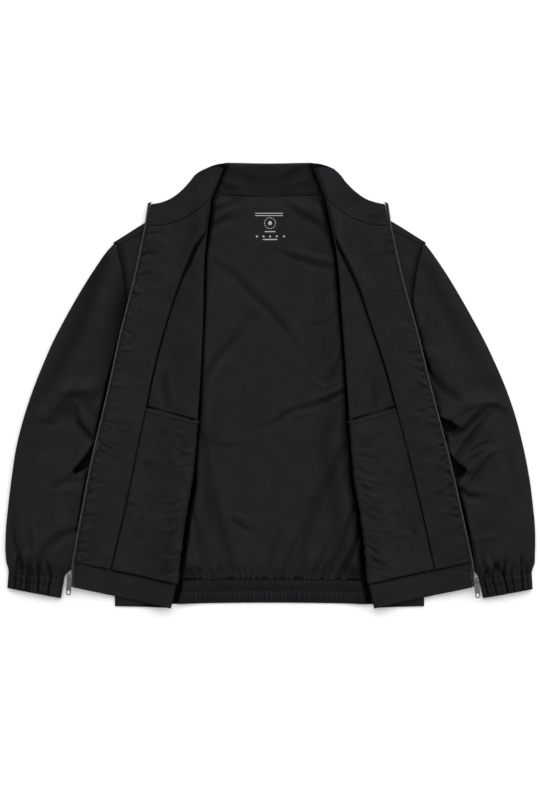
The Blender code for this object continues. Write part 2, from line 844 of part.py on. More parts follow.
def build_pull(front):
    """The pull tab, with a slot for the bridge and an oblong hole; its origin is on its pivot."""
    bar = PULL_WALL / 2
    half = PULL_WIDTH / 2
    tip = bar - PULL_LENGTH
    outer = [(half - 1.2, bar), (-half + 1.2, bar), (-half, bar - 1.4)]
    for k in range(END_ROUND_STEPS + 1):
        angle = math.pi * (1 + k / END_ROUND_STEPS)
        outer.append((half * math.cos(angle), tip + half + half * math.sin(angle)))
    outer.append((half, bar - 1.4))
    slot_half = PULL_SLOT[0] / 2
    slot = [(slot_half, -bar), (-slot_half, -bar), (-slot_half, -PULL_SLOT[1]), (slot_half, -PULL_SLOT[1])]
    hole_bottom = tip + (PULL_WIDTH - PULL_HOLE[0]) / 2
    hole = rounded_loop(PULL_HOLE[0] / 2, hole_bottom + PULL_HOLE[1], hole_bottom, END_ROUND_STEPS)
    work = bmesh.new()
    edges = []
    for loop in (outer, slot, hole):
        corners = [work.verts.new(Vector((a, b, -PULL_WALL / 2)) * MM) for a, b in loop]
        for i, corner in enumerate(corners):
            edges.append(work.edges.new((corner, corners[(i + 1) % len(corners)])))
    filled = bmesh.ops.triangle_fill(work, edges=edges, use_beauty=True)
    faces = [item for item in filled["geom"] if isinstance(item, bmesh.types.BMFace)]
    lifted = bmesh.ops.extrude_face_region(work, geom=faces, use_keep_orig=True)
    corners = [item for item in lifted["geom"] if isinstance(item, bmesh.types.BMVert)]
    bmesh.ops.translate(work, verts=corners, vec=(0, 0, PULL_WALL * MM))
    bmesh.ops.recalc_face_normals(work, faces=work.faces[:])
    name = f"pull_{front.side}"
    mesh = bpy.data.meshes.new(name)
    work.to_mesh(mesh)
    work.free()
    pull = finish(name, mesh, STEEL, 0.3, 1.0)
    top = slider_levels()[1] + SLIDER_PLATE
    pivot = Matrix.Translation(Vector((0, 0, top + PIVOT_HEIGHT)) * MM)
    tilt = Matrix.Rotation(math.radians(PULL_TILT), 4, "X")
    pull.matrix_world = slider_frame(front) @ pivot @ tilt


def main():
    clear_scene()
    fronts = {side: Front(side) for side in SIDES}
    build_back(fronts)
    build_hem_back()
    build_collar(fronts)
    for side, front in fronts.items():
        build_front(front)
        build_facing(front)
        build_pocket(front)
        build_sleeve(side)
        build_cuff(side)
        build_zip(front)
        build_slider(front)
        build_pull(front)


main()
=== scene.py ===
import math

import bmesh
import bpy
import numpy as np
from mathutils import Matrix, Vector
from mathutils.bvhtree import BVHTree


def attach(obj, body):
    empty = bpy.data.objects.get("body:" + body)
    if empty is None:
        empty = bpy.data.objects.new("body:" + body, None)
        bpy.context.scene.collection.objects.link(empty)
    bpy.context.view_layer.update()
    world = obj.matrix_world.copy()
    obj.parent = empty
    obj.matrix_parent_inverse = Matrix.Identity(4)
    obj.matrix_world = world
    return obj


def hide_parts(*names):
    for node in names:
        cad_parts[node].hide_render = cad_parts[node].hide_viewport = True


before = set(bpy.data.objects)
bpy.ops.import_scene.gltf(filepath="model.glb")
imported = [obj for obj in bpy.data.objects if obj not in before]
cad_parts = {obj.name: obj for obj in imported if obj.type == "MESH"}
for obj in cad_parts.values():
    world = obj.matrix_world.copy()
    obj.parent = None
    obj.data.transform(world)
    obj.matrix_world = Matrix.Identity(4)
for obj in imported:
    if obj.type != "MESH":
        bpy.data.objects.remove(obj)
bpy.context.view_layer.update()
mm = 0.001  # tables and sizes below are in millimetres
sides = {"left": -1, "right": 1}


# Small maths

def smoothStep(value):
    value = np.clip(value, 0.0, 1.0)
    return value * value * (3 - 2 * value)


def mix(start, end, share):
    return start + (end - start) * share


def sideCurve(table, side):  # plan points of a y, left x, right x table
    column = 1 if side == "left" else 2
    return np.array([(sides[side] * row[column], row[0]) for row in table], float)


def curveAt(points, share):  # points of a smooth curve at fractions of its length
    points = np.asarray(points, float)
    steps = np.linalg.norm(np.diff(points, axis=0), axis=1)
    place = np.concatenate(([0.0], np.cumsum(steps))) / steps.sum()
    slopes = np.gradient(points, place, axis=0)
    share = np.clip(np.asarray(share, float), 0.0, 1.0)
    index = np.clip(np.searchsorted(place, share, side="right") - 1, 0, len(steps) - 1)
    span = (place[index + 1] - place[index])[..., None]
    u = (share - place[index])[..., None] / span
    start = (1 + 2 * u) * (1 - u) ** 2 * points[index] + u * (1 - u) ** 2 * span * slopes[index]
    end = u * u * (3 - 2 * u) * points[index + 1] + u * u * (u - 1) * span * slopes[index + 1]
    return start + end


def tableAt(table, at, column=1):  # a table's column between its rows; the first column is the place
    return np.interp(at, *np.array(table, float).T[[0, column]])


def unit(vectors):
    return vectors / np.maximum(np.linalg.norm(vectors, axis=-1, keepdims=True), 1e-9)


def lastBelow(isBelow, like):  # where a test turns false on the way from 0 to 1
    low, high = np.zeros_like(like), np.ones_like(like)
    for _ in range(22):
        middle = (low + high) / 2
        below = isBelow(middle)
        low, high = np.where(below, middle, low), np.where(below, high, middle)
    return high


def softNoise(x, y, size, seed):  # smooth value noise, -1 to 1, with lumps of about the size given
    lattice = np.random.RandomState(seed).uniform(-1, 1, (64, 64))
    u, v = np.asarray(x) / size + 1000.0, np.asarray(y) / size + 1000.0
    i, j = np.floor(u).astype(int), np.floor(v).astype(int)
    a, b = smoothStep(u - i), smoothStep(v - j)
    low = mix(lattice[i % 64, j % 64], lattice[(i + 1) % 64, j % 64], a)
    high = mix(lattice[i % 64, (j + 1) % 64], lattice[(i + 1) % 64, (j + 1) % 64], a)
    return mix(low, high, b)


def lumps(x, y, table, shift=0):  # noises added up: height, size and seed of each
    return sum(height * softNoise(x, y, size, seed + shift) for height, size, seed in table)


# Folds in the cloth: a ridge, or a trough where the height is negative, that may lean to the path's left

foldShape = {"spots": 13, "reach": 3.2, "peak": 0.4, "trough": 0.3, "troughAt": 1.7, "troughWidth": 1.2}


def fold(path, width, height, lean=0.0, start=0.3, end=0.3):  # width: one, or left and right of the path
    widths = width if isinstance(width, tuple) else (width, width)
    return path, widths, height, lean, start, end  # start and end: strength at the two ends


def foldTable(*rows):
    return [fold(*row) for row in rows]


def foldMove(x, y, folds):  # how far each point moves, in x, y and z
    look, peak = foldShape, foldShape["peak"]
    move = np.zeros(x.shape + (3,))
    for path, widths, height, lean, startStrength, endStrength in folds:
        smooth = curveAt(path, np.linspace(0, 1, look["spots"])) if len(path) > 2 else path
        spots = np.array(smooth, float)
        reach = look["reach"] * max(widths)
        low, high = spots.min(axis=0) - reach, spots.max(axis=0) + reach
        near = (x > low[0]) & (x < high[0]) & (y > low[1]) & (y < high[1])
        if not near.any():
            continue
        px, py = x[near], y[near]
        best = np.full(px.shape, 1e9)
        signed, along, leftX, leftY = np.zeros((4,) + px.shape)
        for k, start in enumerate(spots[:-1]):
            step = spots[k + 1] - start
            left = np.array((-step[1], step[0])) / np.linalg.norm(step)
            t = np.clip(((px - start[0]) * step[0] + (py - start[1]) * step[1]) / (step @ step), 0, 1)
            dx, dy = px - start[0] - t * step[0], py - start[1] - t * step[1]
            distance = np.hypot(dx, dy)
            closer = distance < best
            best = np.where(closer, distance, best)
            signed = np.where(closer, distance * np.sign(step[0] * dy - step[1] * dx), signed)
            along = np.where(closer, (k + t) / (len(spots) - 1), along)
            leftX, leftY = np.where(closer, left[0], leftX), np.where(closer, left[1], leftY)
        rising = mix(startStrength, 1.0, smoothStep(along / peak))
        falling = mix(1.0, endStrength, smoothStep((along - peak) / (1 - peak)))
        strength = np.where(along < peak, rising, falling)
        width = np.where(signed > 0, widths[0], widths[1])
        ridge = strength * np.exp(-(signed / width) ** 2)
        beyond = (signed - look["troughAt"] * widths[0]) / (look["troughWidth"] * widths[0])
        trough = strength * look["trough"] * np.exp(-beyond ** 2)
        move[near, 0] += lean * ridge * leftX
        move[near, 1] += lean * ridge * leftY
        move[near, 2] += height * (ridge - trough)
    return move


def foldHeight(x, y, folds):
    return foldMove(x, y, folds)[..., 2]


def bentPath(x, y, sign, slant, bend, length):  # two steps from a point, the second turned by the bend
    path = [(x, y)]
    for angle in (slant, slant + bend):
        x, y = x + sign * math.cos(angle) * length / 2, y - sign * math.sin(angle) * length / 2
        path.append((x, y))
    return path


def looseFold(random, x, y, turns, tallest):  # a short, faint fold of chance size
    turn = math.radians(random.uniform(*turns))
    step = random.uniform(12, 34) * np.array((math.cos(turn), math.sin(turn)))
    width, height = random.uniform(3, 6), random.uniform(-tallest, tallest)
    return fold([(x, y), (x + step[0], y + step[1])], width, height, 0, 0, 0)


# Meshes. A point has x, y and z, and may have a fourth value: painted shade, from 0 to 1, that darkens the
# cloth's colour in hollows, creases and along seams

def troughShade(height, depth, most):  # soft painted shade where the cloth dips by up to the depth given
    return most * np.clip(-height / depth, 0, 1)


# each point's painted shade, as a fourth value
def withShade(points, shade):
    return np.concatenate((points, np.asarray(shade)[..., None]), axis=-1)


def atHeight(plan, z):  # plan points with one height, or a height each
    return np.column_stack((plan, np.broadcast_to(z, len(plan))))


def turnedOver(start, outward, radius, level, shares):  # columns of points round a fold, from below
    reach = outward * np.reshape(radius, (-1, 1))
    angles = math.pi * np.asarray(shares)
    return [atHeight(start + reach * math.sin(a), level + radius * (1 - math.cos(a))) for a in angles]


# the points' painted shade, kept on the mesh as its shade attribute
def setShade(mesh, grids):
    layers = [grid[..., 3] if grid.shape[-1] > 3 else grid[..., 0] * 0 for grid in grids]
    shades = np.concatenate([layer.reshape(-1) for layer in layers])
    mesh.attributes.new("shade", "FLOAT", "POINT").data.foreach_set("value", shades)


def facedOutward(mesh, join=0.0):  # every face turned outward; points nearer than join made one
    work = bmesh.new()
    work.from_mesh(mesh)
    if join:
        bmesh.ops.remove_doubles(work, verts=work.verts[:], dist=join)
    bmesh.ops.recalc_face_normals(work, faces=work.faces[:])
    work.to_mesh(mesh)
    work.free()


def gridMesh(name, grids):  # one open mesh of grids of points in millimetres; shared edges are joined
    verts, faces, places = [], [], []
    base = 0
    for points in (grid[..., :3] for grid in grids):
        rows, columns = points.shape[:2]
        verts.append(points.reshape(-1, 3) * mm)
        lengths = []
        for line in (points[rows // 2], points[:, columns // 2]):
            steps = np.linalg.norm(np.diff(line, axis=0), axis=1)
            lengths.append(np.concatenate(([0], np.cumsum(steps))))
        places.append(np.stack(np.meshgrid(*lengths), axis=-1).reshape(-1, 2) * mm)
        i, j = np.meshgrid(np.arange(rows - 1), np.arange(columns - 1), indexing="ij")
        corner = base + i * columns + j
        quads = np.stack((corner, corner + 1, corner + columns + 1, corner + columns), axis=-1)
        faces.append(quads.reshape(-1, 4))
        base += rows * columns
    verts, faces, places = np.concatenate(verts), np.concatenate(faces), np.concatenate(places)
    mesh = bpy.data.meshes.new(name)
    mesh.from_pydata(verts.tolist(), [], faces.tolist())
    mesh.uv_layers.new(name="cloth").data.foreach_set("uv", places[faces.reshape(-1)].reshape(-1))
    setShade(mesh, grids)
    if len(grids) > 1:
        facedOutward(mesh, 0.00002)
    return mesh


def makeObject(name, mesh, material):
    item = bpy.data.objects.new(name, mesh)
    bpy.context.scene.collection.objects.link(item)
    mesh.materials.clear()
    mesh.materials.append(material)
    mesh.shade_smooth()
    return item


def clothPiece(name, grids, material, wall):
    item = makeObject(name, gridMesh(name, grids), material)
    solidify = item.modifiers.new("wall", "SOLIDIFY")
    solidify.thickness = wall * mm
    solidify.offset = 0.0
    solidify.use_even_offset = False
    return item


def tubePiece(name, outside, inside, material):  # a cloth tube, open at both ends, from rings of points
    count = outside.shape[1]
    inner = outside.shape[0] * count  # where the inner shell's points begin
    verts = np.concatenate([rings[..., :3].reshape(-1, 3) for rings in (outside, inside)]) * mm
    faces = []
    for base, rings, turn in ((0, outside, 1), (inner, inside, -1)):
        for start in range(base, base + (len(rings) - 1) * count, count):
            for j in range(count):
                k = (j + 1) % count
                quad = (start + j, start + k, start + count + k, start + count + j)
                faces.append(quad[::turn])
    for edge, innerEdge, turn in ((0, inner, 1), (inner - count, len(verts) - count, -1)):
        for j in range(count):
            k = (j + 1) % count
            faces.append((edge + k, edge + j, innerEdge + j, innerEdge + k)[::turn])
    mesh = bpy.data.meshes.new(name)
    mesh.from_pydata(verts.tolist(), [], faces)
    setShade(mesh, (outside, inside))
    facedOutward(mesh)
    loops = np.zeros(len(mesh.loops), dtype=int)
    mesh.loops.foreach_get("vertex_index", loops)
    mesh.uv_layers.new(name="cloth").data.foreach_set("uv", verts[loops][:, :2].reshape(-1))
    return makeObject(name, mesh, material)


def solidItem(name, rings):  # a closed solid, not in the scene, from rings of points
    work = bmesh.new()
    rings = [[work.verts.new(Vector(spot) * mm) for spot in ring] for ring in rings]
    for low, high in zip(rings, rings[1:]):
        for i in range(len(low)):
            k = (i + 1) % len(low)
            work.faces.new((low[i], high[i], high[k], low[k]))
    work.faces.new(rings[0])
    work.faces.new(rings[-1][::-1])
    bmesh.ops.recalc_face_normals(work, faces=work.faces[:])
    mesh = bpy.data.meshes.new(name)
    work.to_mesh(mesh)
    work.free()
    return bpy.data.objects.new(name, mesh)


# Materials

def feed(tree, node, inputs):  # inputs, by name or place: a value, or another node's output
    for key, value in inputs.items():
        if isinstance(value, bpy.types.NodeSocket):
            tree.links.new(value, node.inputs[key])
        else:
            node.inputs[key].default_value = value


def addNode(tree, kind, inputs={}, **settings):
    node = tree.nodes.new(kind)
    for key, value in settings.items():
        setattr(node, key, value)
    feed(tree, node, inputs)
    return node.outputs


def addNoise(tree, place, scale, detail):
    return addNode(tree, "ShaderNodeTexNoise", {"Vector": place, "Scale": scale, "Detail": detail})["Fac"]


def newMaterial(name, inputs):
    material = bpy.data.materials.new(name)
    material.use_nodes = True
    tree = material.node_tree
    feed(tree, tree.nodes["Principled BSDF"], inputs)
    return material, tree, tree.nodes["Principled BSDF"]


def colorRamp(tree, fac, color, stops):  # stops: place and share of the colour
    ramp = tree.nodes.new("ShaderNodeValToRGB")
    for element, (place, share) in zip(ramp.color_ramp.elements, stops):
        element.position = place
        element.color = (*[min(c * share, 1) for c in color], 1)
    tree.links.new(fac, ramp.inputs["Fac"])
    return ramp.outputs["Color"]


def clothMaterial(name, look):  # plain weave: fine crossed yarns and soft mottling, with painted shade from the mesh's shade attribute darkening hollows, creases and seams
    material, tree, shader = newMaterial(name, {
        "Roughness": look["roughness"], "Specular IOR Level": look["specular"],
    })
    place = addNode(tree, "ShaderNodeTexCoord")
    mottle, crumple = (addNoise(tree, place["Object"], *look[name]) for name in ("mottle", "crumple"))
    color = colorRamp(tree, mottle, look["color"], look["mottleStops"])
    # painted shade: the shade attribute mixes the colour toward a near-black tone
    paintedShadeTone = (*[c * look["paintedShadeTone"] for c in look["color"]], 1)
    hollow = addNode(tree, "ShaderNodeAttribute", attribute_name="shade")["Fac"]
    mixed = {"Factor": hollow, "A": color, "B": paintedShadeTone}
    color = addNode(tree, "ShaderNodeMix", mixed, data_type="RGBA")
    yarns = [
        addNode(
            tree, "ShaderNodeTexWave",
            {"Scale": look["yarnsPerMetre"] / 20 * math.pi, "Distortion": 0.0, "Vector": place["UV"]},
            wave_type="BANDS", bands_direction=direction,
        )["Fac"]
        for direction in ("X", "Y")
    ]
    weave = addNode(tree, "ShaderNodeMath", {0: yarns[0], 1: yarns[1]}, operation="MULTIPLY")["Value"]
    normal = {}
    for height, (strength, distance) in ((weave, look["weaveBump"]), (crumple, look["crumpleBump"])):
        inputs = {"Strength": strength, "Distance": distance, "Height": height, **normal}
        normal = {"Normal": addNode(tree, "ShaderNodeBump", inputs)["Normal"]}
    feed(tree, shader, {"Base Color": color["Result"], **normal})
    return material


def plainMaterial(name, color, roughness, metallic, grainScale, grainBump, specular=0.5):
    material, tree, shader = newMaterial(name, {
        "Metallic": metallic, "Roughness": roughness, "Specular IOR Level": specular,
    })
    place = addNode(tree, "ShaderNodeTexCoord")["Object"]
    grain = addNoise(tree, place, grainScale, 4.0)
    bump = addNode(tree, "ShaderNodeBump", {"Strength": grainBump, "Distance": 0.0003, "Height": grain})
    color = colorRamp(tree, grain, color, ((0.0, 0.82), (1.0, 1.15)))
    feed(tree, shader, {"Base Color": color, "Normal": bump["Normal"]})
    return material


clothLook = {
    # paintedShadeTone: share of the colour left where the painted shade is full
    "color": (0.0101, 0.0101, 0.0114), "paintedShadeTone": 0.06, "roughness": 0.62, "specular": 0.04,
    "mottle": (38.0, 5.0), "crumple": (95.0, 3.0),  # scale and detail
    "mottleStops": ((0.3, 0.86), (0.7, 1.12)),  # place, share of the colour
    "yarnsPerMetre": 2400, "weaveBump": (0.25, 0.0001), "crumpleBump": (0.12, 0.0012),  # strength, distance
}
bandLook = dict(clothLook, color=(0.0092, 0.0092, 0.0104), crumpleBump=(0.2, 0.0012))
shellCloth = clothMaterial("shell_cloth", clothLook)
bandCloth = clothMaterial("band_cloth", bandLook)
threadFinish = plainMaterial("black_thread", (0.0055, 0.0055, 0.006), 0.8, 0.0, 900.0, 0.3, 0.06)
tapeFinish = plainMaterial("zip_tape_weave", (0.011, 0.011, 0.012), 0.75, 0.0, 1500.0, 0.5, 0.15)
# the coil's grey, lighter than the tape, is partly its own tone and partly painted sheen
coilFinish = plainMaterial("zip_coil_nylon", (0.075, 0.075, 0.079), 0.42, 0.0, 700.0, 0.15, 0.3)
metalFinish = plainMaterial("nickel_metal", (0.115, 0.115, 0.12), 0.34, 1.0, 260.0, 0.15)
printFinish = plainMaterial("grey_print", (0.3, 0.3, 0.31), 0.7, 0.0, 1800.0, 0.2)
print("materials ready")


# The plan of the jacket. Tables run from the hem to the collar: y, left x, right x

layout = {
    "clothWall": 1.2,
    "visibleWall": 0.8,
    "gap": 0.3,
    "seamGap": 0.1,
    "low": 0.6,  # middle of the layer on the ground
    "high": 2.1,  # middle of the layer on that one
    "foldRadius": 3.2,
    "bagRoom": 1.6,  # for the pocket bag, which lies over the fold
    "bagEnd": 0.425,  # fraction of the front where it ends, and over what fraction
    "bagOver": 0.01,
    "seamSag": 12.6,
    "tapeWidth": 5.0,
    "foldLine": (
        (-369, 162, 172), (-330, 153, 163), (-235, 142, 154), (-165, 130, 142), (-40, 118, 131),
        (110, 110, 120), (215, 107, 111), (307, 97, 93), (360, 76, 73),
    ),
    "zipEdge": (
        (-333, 330, 341), (-293, 327, 337), (-217, 313, 320), (-120, 294, 298), (-8, 268, 269),
        (90, 247, 245), (182, 224, 220), (263, 207, 202), (300, 202, 197),
    ),
    "facingEdge": (
        (-305, 264, 275), (-192, 238, 250), (-113, 222, 231), (-34, 205, 210), (29, 192, 193),
        (115, 168, 164), (170, 149, 144), (205, 134, 127), (232, 121, 114), (250, 108, 107),
    ),
    "collarTop": (
        (360, 76, 73), (360.5, 95, 92), (356, 112, 109), (348, 124, 118), (339, 131, 125),
        (329, 140, 134), (320, 149, 144), (310, 163, 158), (303, 180, 177), (300, 202, 197),
    ),
    "collarBack": (  # x, y at the neck seam, y at the top
        (0, 313.6, 367.6), (30, 314.2, 368), (60, 315.4, 368.6), (79, 316.2, 368.4), (94, 315.8, 365),
        (107, 313.2, 359.5),
    ),
    "shoulder": (  # x, y, x on the front seam
        (259, 236, 255), (236, 250.5, 229), (208, 268, 200), (178, 284, 169), (148, 297.5, 140),
        (108, 312, 103),
    ),
    "hemHalf": 256.5,
    "hemSeamY": -327.0,
    "hemY": -366.0,
    "hemRise": 6.0,
    "underarm": (285.0, -60.0),
    "shoulderPoint": (255.0, 231.5),
    "armholeBow": 31.0,
    "flapHeight": (  # fraction from the hem to the collar seam, height in the middle, height at the zip
        (0.0, 6.0, 12.0), (0.08, 6.2, 15.5), (0.16, 6.4, 18.5), (0.28, 6.4, 19.5), (0.45, 6.0, 17.5),
        (0.65, 5.8, 13.0), (0.85, 5.6, 9.0), (1.0, 5.8, 8.0),
    ),
    "flapMiddle": 0.4,
    "foldRise": {  # fraction from the hem to the collar seam, how far the fold stands off the back
        "left": ((0.0, 9.0), (0.2, 10.5), (0.35, 9.0), (0.5, 7.5), (0.8, 6.0), (1.0, 6.5)),
        "right": ((0.0, 8.0), (0.2, 10.5), (0.5, 9.5), (0.8, 7.5), (1.0, 6.5)),
    },
}


def armhole(share, side):  # from the underarm to the shoulder point
    (x0, y0), (x1, y1) = layout["underarm"], layout["shoulderPoint"]
    share = np.asarray(share, float)
    x = mix(x0, x1, share) - layout["armholeBow"] * 4 * share * (1 - share)
    return np.stack((sides[side] * x, mix(y0, y1, share)), axis=-1)


def bodyEdge(side):  # side seam and armhole
    start = np.array((sides[side] * layout["hemHalf"], layout["hemSeamY"]))
    seam = [mix(start, armhole(0.0, side), k / 4) for k in range(4)]
    return np.array(seam + [armhole(k / 8, side) for k in range(9)])


def hemLine(x, level):
    rise = layout["hemRise"] * (1 - (x / layout["hemHalf"]) ** 2)
    return mix(layout["hemSeamY"], layout["hemY"], level) + rise


def foldLineAt(side, y):
    return np.interp(y, *sideCurve(layout["foldLine"], side).T[::-1])


def insideFolds(x, y):  # distance inside the nearer fold line
    return np.minimum(x - foldLineAt("left", y), foldLineAt("right", y) - x)


class FrontPlan:  # fold line, zip and side of one front, row by row; part 0 is its hem band
    def __init__(self, side):
        self.side = side
        crease, edge = sideCurve(layout["foldLine"], side), sideCurve(layout["zipEdge"], side)
        self.folds, self.edges = (crease[:2], crease[1:-1]), (edge[:2], edge[1:-1])
        sideEdge = bodyEdge(side)
        self.sides = (np.array(((sideEdge[0][0], layout["hemY"]), sideEdge[0])), sideEdge)

    def rows(self, share, part=1):
        crease, edge = curveAt(self.folds[part], share), curveAt(self.edges[part], share)
        out = unit(edge - crease)
        bag = 1.0 if part == 0 else smoothStep((layout["bagEnd"] - share) / layout["bagOver"])
        centre = crease + out * (layout["foldRadius"] + layout["bagRoom"] * np.asarray(bag)[..., None])
        clothEdge = edge - out * (layout["tapeWidth"] + layout["gap"])
        return curveAt(self.sides[part], share), centre, clothEdge, edge, out

    def rise(self, share):
        return tableAt(layout["foldRise"][self.side], share)

    def height(self, share, across):
        middle, zipSide = (tableAt(layout["flapHeight"], share, column) for column in (1, 2))
        start = layout["high"] + 2 * layout["foldRadius"] + self.rise(share)
        split = layout["flapMiddle"]
        inner = mix(start, middle, smoothStep(across / split))
        outer = mix(middle, zipSide, smoothStep((across - split) / (1 - split)))
        return np.where(across < split, inner, outer)

    def flap(self, share, across, part=1):  # across: 0 at the fold, 1 at the zip tape
        share, across = np.broadcast_arrays(np.asarray(share, float), np.asarray(across, float))
        _, centre, clothEdge, _, _ = self.rows(share, part)
        plan = mix(centre, clothEdge, across[..., None])
        bodyShare = share if part == 1 else np.zeros_like(share)
        sag = layout["seamSag"] * 4 * across * (1 - across) * smoothStep((bodyShare - 0.75) / 0.25)
        x, y = plan[..., 0], plan[..., 1] - sag
        z = self.height(bodyShare, across)
        return np.stack((x, y, z + flapFolds(self.side, x, y)), axis=-1)

    def facingStart(self, share):  # where the facing's free edge crosses a row
        table = curveAt(sideCurve(layout["facingEdge"], self.side), np.linspace(0, 1, 80))

        def isBelow(middle):
            spot = self.flap(share, middle)
            limit = np.abs(np.interp(spot[..., 1], table[:, 1], table[:, 0]))
            return np.abs(spot[..., 0]) <= np.where(spot[..., 1] > table[-1, 1], 0.0, limit)

        start = lastBelow(isBelow, share)
        return np.where(start < 0.002, 0.0, start)


grooveLook = {
    "depth": ((0, 3.4), (0.8, 3.4), (0.87, 7.0), (0.93, 8.0), (0.97, 4.0)),  # fraction from hem to collar
    "width": {
        "left": ((0, 1.6), (0.815, 1.4), (0.84, 3.4), (0.885, 3.0), (0.915, 1.5)),
        "right": ((0, 1.4), (0.75, 1.6), (0.86, 2.2), (0.92, 1.5)),
    },
    # painted shade: shade in the grooves, seamShade along the hem seam, bandShade on the band's top edge,
    # pocketShade above the pocket
    "shade": ((0, 0.5), (0.2, 0.75), (0.5, 0.9), (0.9, 1.0), (1, 0.6)),
    "centre": -0.8, "floor": 1.1, "seamShade": 0.7, "shadeReach": 2.0, "bandShade": 1.0,
    "pocketDepth": 3.4, "pocketShade": 0.75, "pocketAbove": 1.0, "pocketWidth": 1.7,
}


def grooveFloor(front, share, across):  # just above the front's under layer
    side, centre, clothEdge, _, _ = front.rows(share)
    away = across * np.linalg.norm(clothEdge - centre, axis=-1) / np.linalg.norm(side - centre, axis=-1)
    return layout["high"] + grooveLook["floor"] + front.rise(share) * smoothStep((0.5 - away) / 0.5)


def dropInto(front, share, across, points, drop):  # the cloth dips, but never below the groove's floor
    lowest = np.minimum(points[..., 2], grooveFloor(front, share, across))
    points[..., 2] = np.maximum(points[..., 2] - drop, lowest)


def edgeGroove(front, share, across, points):  # the cloth dips beside the facing's free edge; returns the painted shade of the groove
    start = front.facingStart(share)
    _, centre, clothEdge, _, _ = front.rows(share)
    distance = (across - start) * np.linalg.norm(clothEdge - centre, axis=-1)
    depth, width = tableAt(grooveLook["depth"], share), tableAt(grooveLook["width"][front.side], share)
    drop = depth * np.exp(-((distance - grooveLook["centre"] * width) / width) ** 2) * (start > 0.01)
    dropInto(front, share, across, points, drop)
    return tableAt(grooveLook["shade"], share) * np.clip(grooveLook["shadeReach"] * drop / depth, 0, 1)


def raisedFrom(points, offset):  # a grid moved out square to itself, upwards
    normal = unit(np.cross(np.gradient(points, axis=1), np.gradient(points, axis=0)))
    normal = normal * np.where(normal[..., 2:] < 0, -1, 1)
    return points + normal * np.asarray(offset)[..., None]


# Folds of the turned-back fronts, shared by everything that lies on them

flapCreases = {"left": [], "right": []}
flapCrumple = ((0.4, 10, 91),)  # height, size, seed
puckerLook = {
    "count": 76, "seeds": {"left": 11, "right": 23},
    "places": (0.03, 0.93), "lengths": ((20, 42), (6, 20)), "longEvery": 4, "slant": (-38, 22),
    "bend": (-25, 25), "fromEdge": 5, "height": (0.7, 2.4), "width": (1.8, 3.6), "looseTurns": (-50, 60),
    "looseHeight": 1.4,
}


def flapFolds(side, x, y):
    if not flapCreases[side]:
        return np.zeros_like(x)
    x = np.abs(x)
    return foldHeight(x, y, flapCreases[side]) + lumps(x, y, flapCrumple, sides[side])


def absoluteCurve(name, side):  # a curve of the plan with x counted from the middle
    curve = np.abs(sideCurve(layout[name], side)) * (1, 1)
    curve[:, 1] = [row[0] for row in layout[name]]
    return curve


def zipPuckers(side):  # short slanted ripples drawn up by the zip's stitching
    look, count = puckerLook, puckerLook["count"]
    random = np.random.RandomState(look["seeds"][side])
    edge = absoluteCurve("zipEdge", side)
    first, over = look["places"]
    rows = []
    for k in range(count):
        share = (k + random.uniform(0.1, 0.9)) / count * over + first
        x, y = curveAt(edge, share)
        length = random.uniform(*look["lengths"][min(k % look["longEvery"], 1)])
        slant, bend = (math.radians(random.uniform(*look[name])) for name in ("slant", "bend"))
        path = bentPath(x, y, -1, slant, bend, length)
        path[0] = (x - look["fromEdge"], y)
        height = random.choice((-1, 1, 1)) * random.uniform(*look["height"])
        rows.append(fold(path, random.uniform(*look["width"]), height, 0, 0.9, 0.0))
    for k in range(count // 2):  # fainter ones across the whole strip
        share = random.uniform(0.03, 0.9)
        x, y = curveAt(edge, share) - (random.uniform(12, 60), 0)
        rows.append(looseFold(random, x, y, look["looseTurns"], look["looseHeight"]))
    return rows


flapCreases["left"] = zipPuckers("left") + foldTable(
    ([(176, 30), (173, 2), (168, -36)], (8, 5), -1.7, 0, 0.0, 1),
    ([(163, 20), (164, -10), (165, -40)], 6, 0.9, 0, 0.1, 0.6),
    ([(215, 250), (190, 236), (160, 232)], 9, 1.4, 0, 0.4, 0.0),
    ([(203, 205), (170, 180), (150, 172)], 10, 1.0, 0, 0.3, 0.0),
)
flapCreases["right"] = zipPuckers("right") + foldTable(
    ([(169, 40), (172, 5), (177, -34)], (9, 6), -1.7, 0, 0.0, 1),
    ([(162, 10), (162, -20), (163, -44)], 6, 0.9, 0, 0.1, 0.6),
    ([(205, 235), (180, 222), (150, 226)], 9, 1.2, 0, 0.4, 0.0),
)
fronts = {side: FrontPlan(side) for side in sides}


# Fronts: under layer, soft fold and turned-back flap in one section

frontLook = {
    "rows": 240, "fineRows": (0.415, 0.487, 28), "bandRows": 22, "underColumns": 10, "paintedDarkFrom": 6,
    "foldColumns": 14, "flapColumns": 64, "closeColumns": 14, "closeReach": 0.035, "innerPart": 0.6,
}


def flapColumns(front, share, count):  # from fold to zip, close together at the facing's free edge
    edge = np.clip(front.facingStart(share), 0.1, 0.95)[:, None]
    close, reach = frontLook["closeColumns"], frontLook["closeReach"]
    low, high = np.minimum(edge - reach, 0.9), edge + reach
    before = int((count - close) * frontLook["innerPart"])
    inner = low * np.linspace(0, 1, before + 1)[None, 1:-1]
    middle = low + (high - low) * np.linspace(0, 1, close)[None, :]
    outer = high + (1 - high) * np.linspace(0, 1, count - before - close + 2)[None, 1:]
    return np.concatenate((inner, middle, outer), axis=1)


def pocketTopY(front, x):  # height of the pocket's top edge between the fold and the facing
    crease = abs(foldLineAt(front.side, pocketLook["topAtFold"]))
    facing = pocketLook["facingX"][front.side]
    share = np.clip((x - crease) / (facing - crease), 0, 1.2)
    return mix(pocketLook["topAtFold"], pocketLook["topAtFacing"], share)


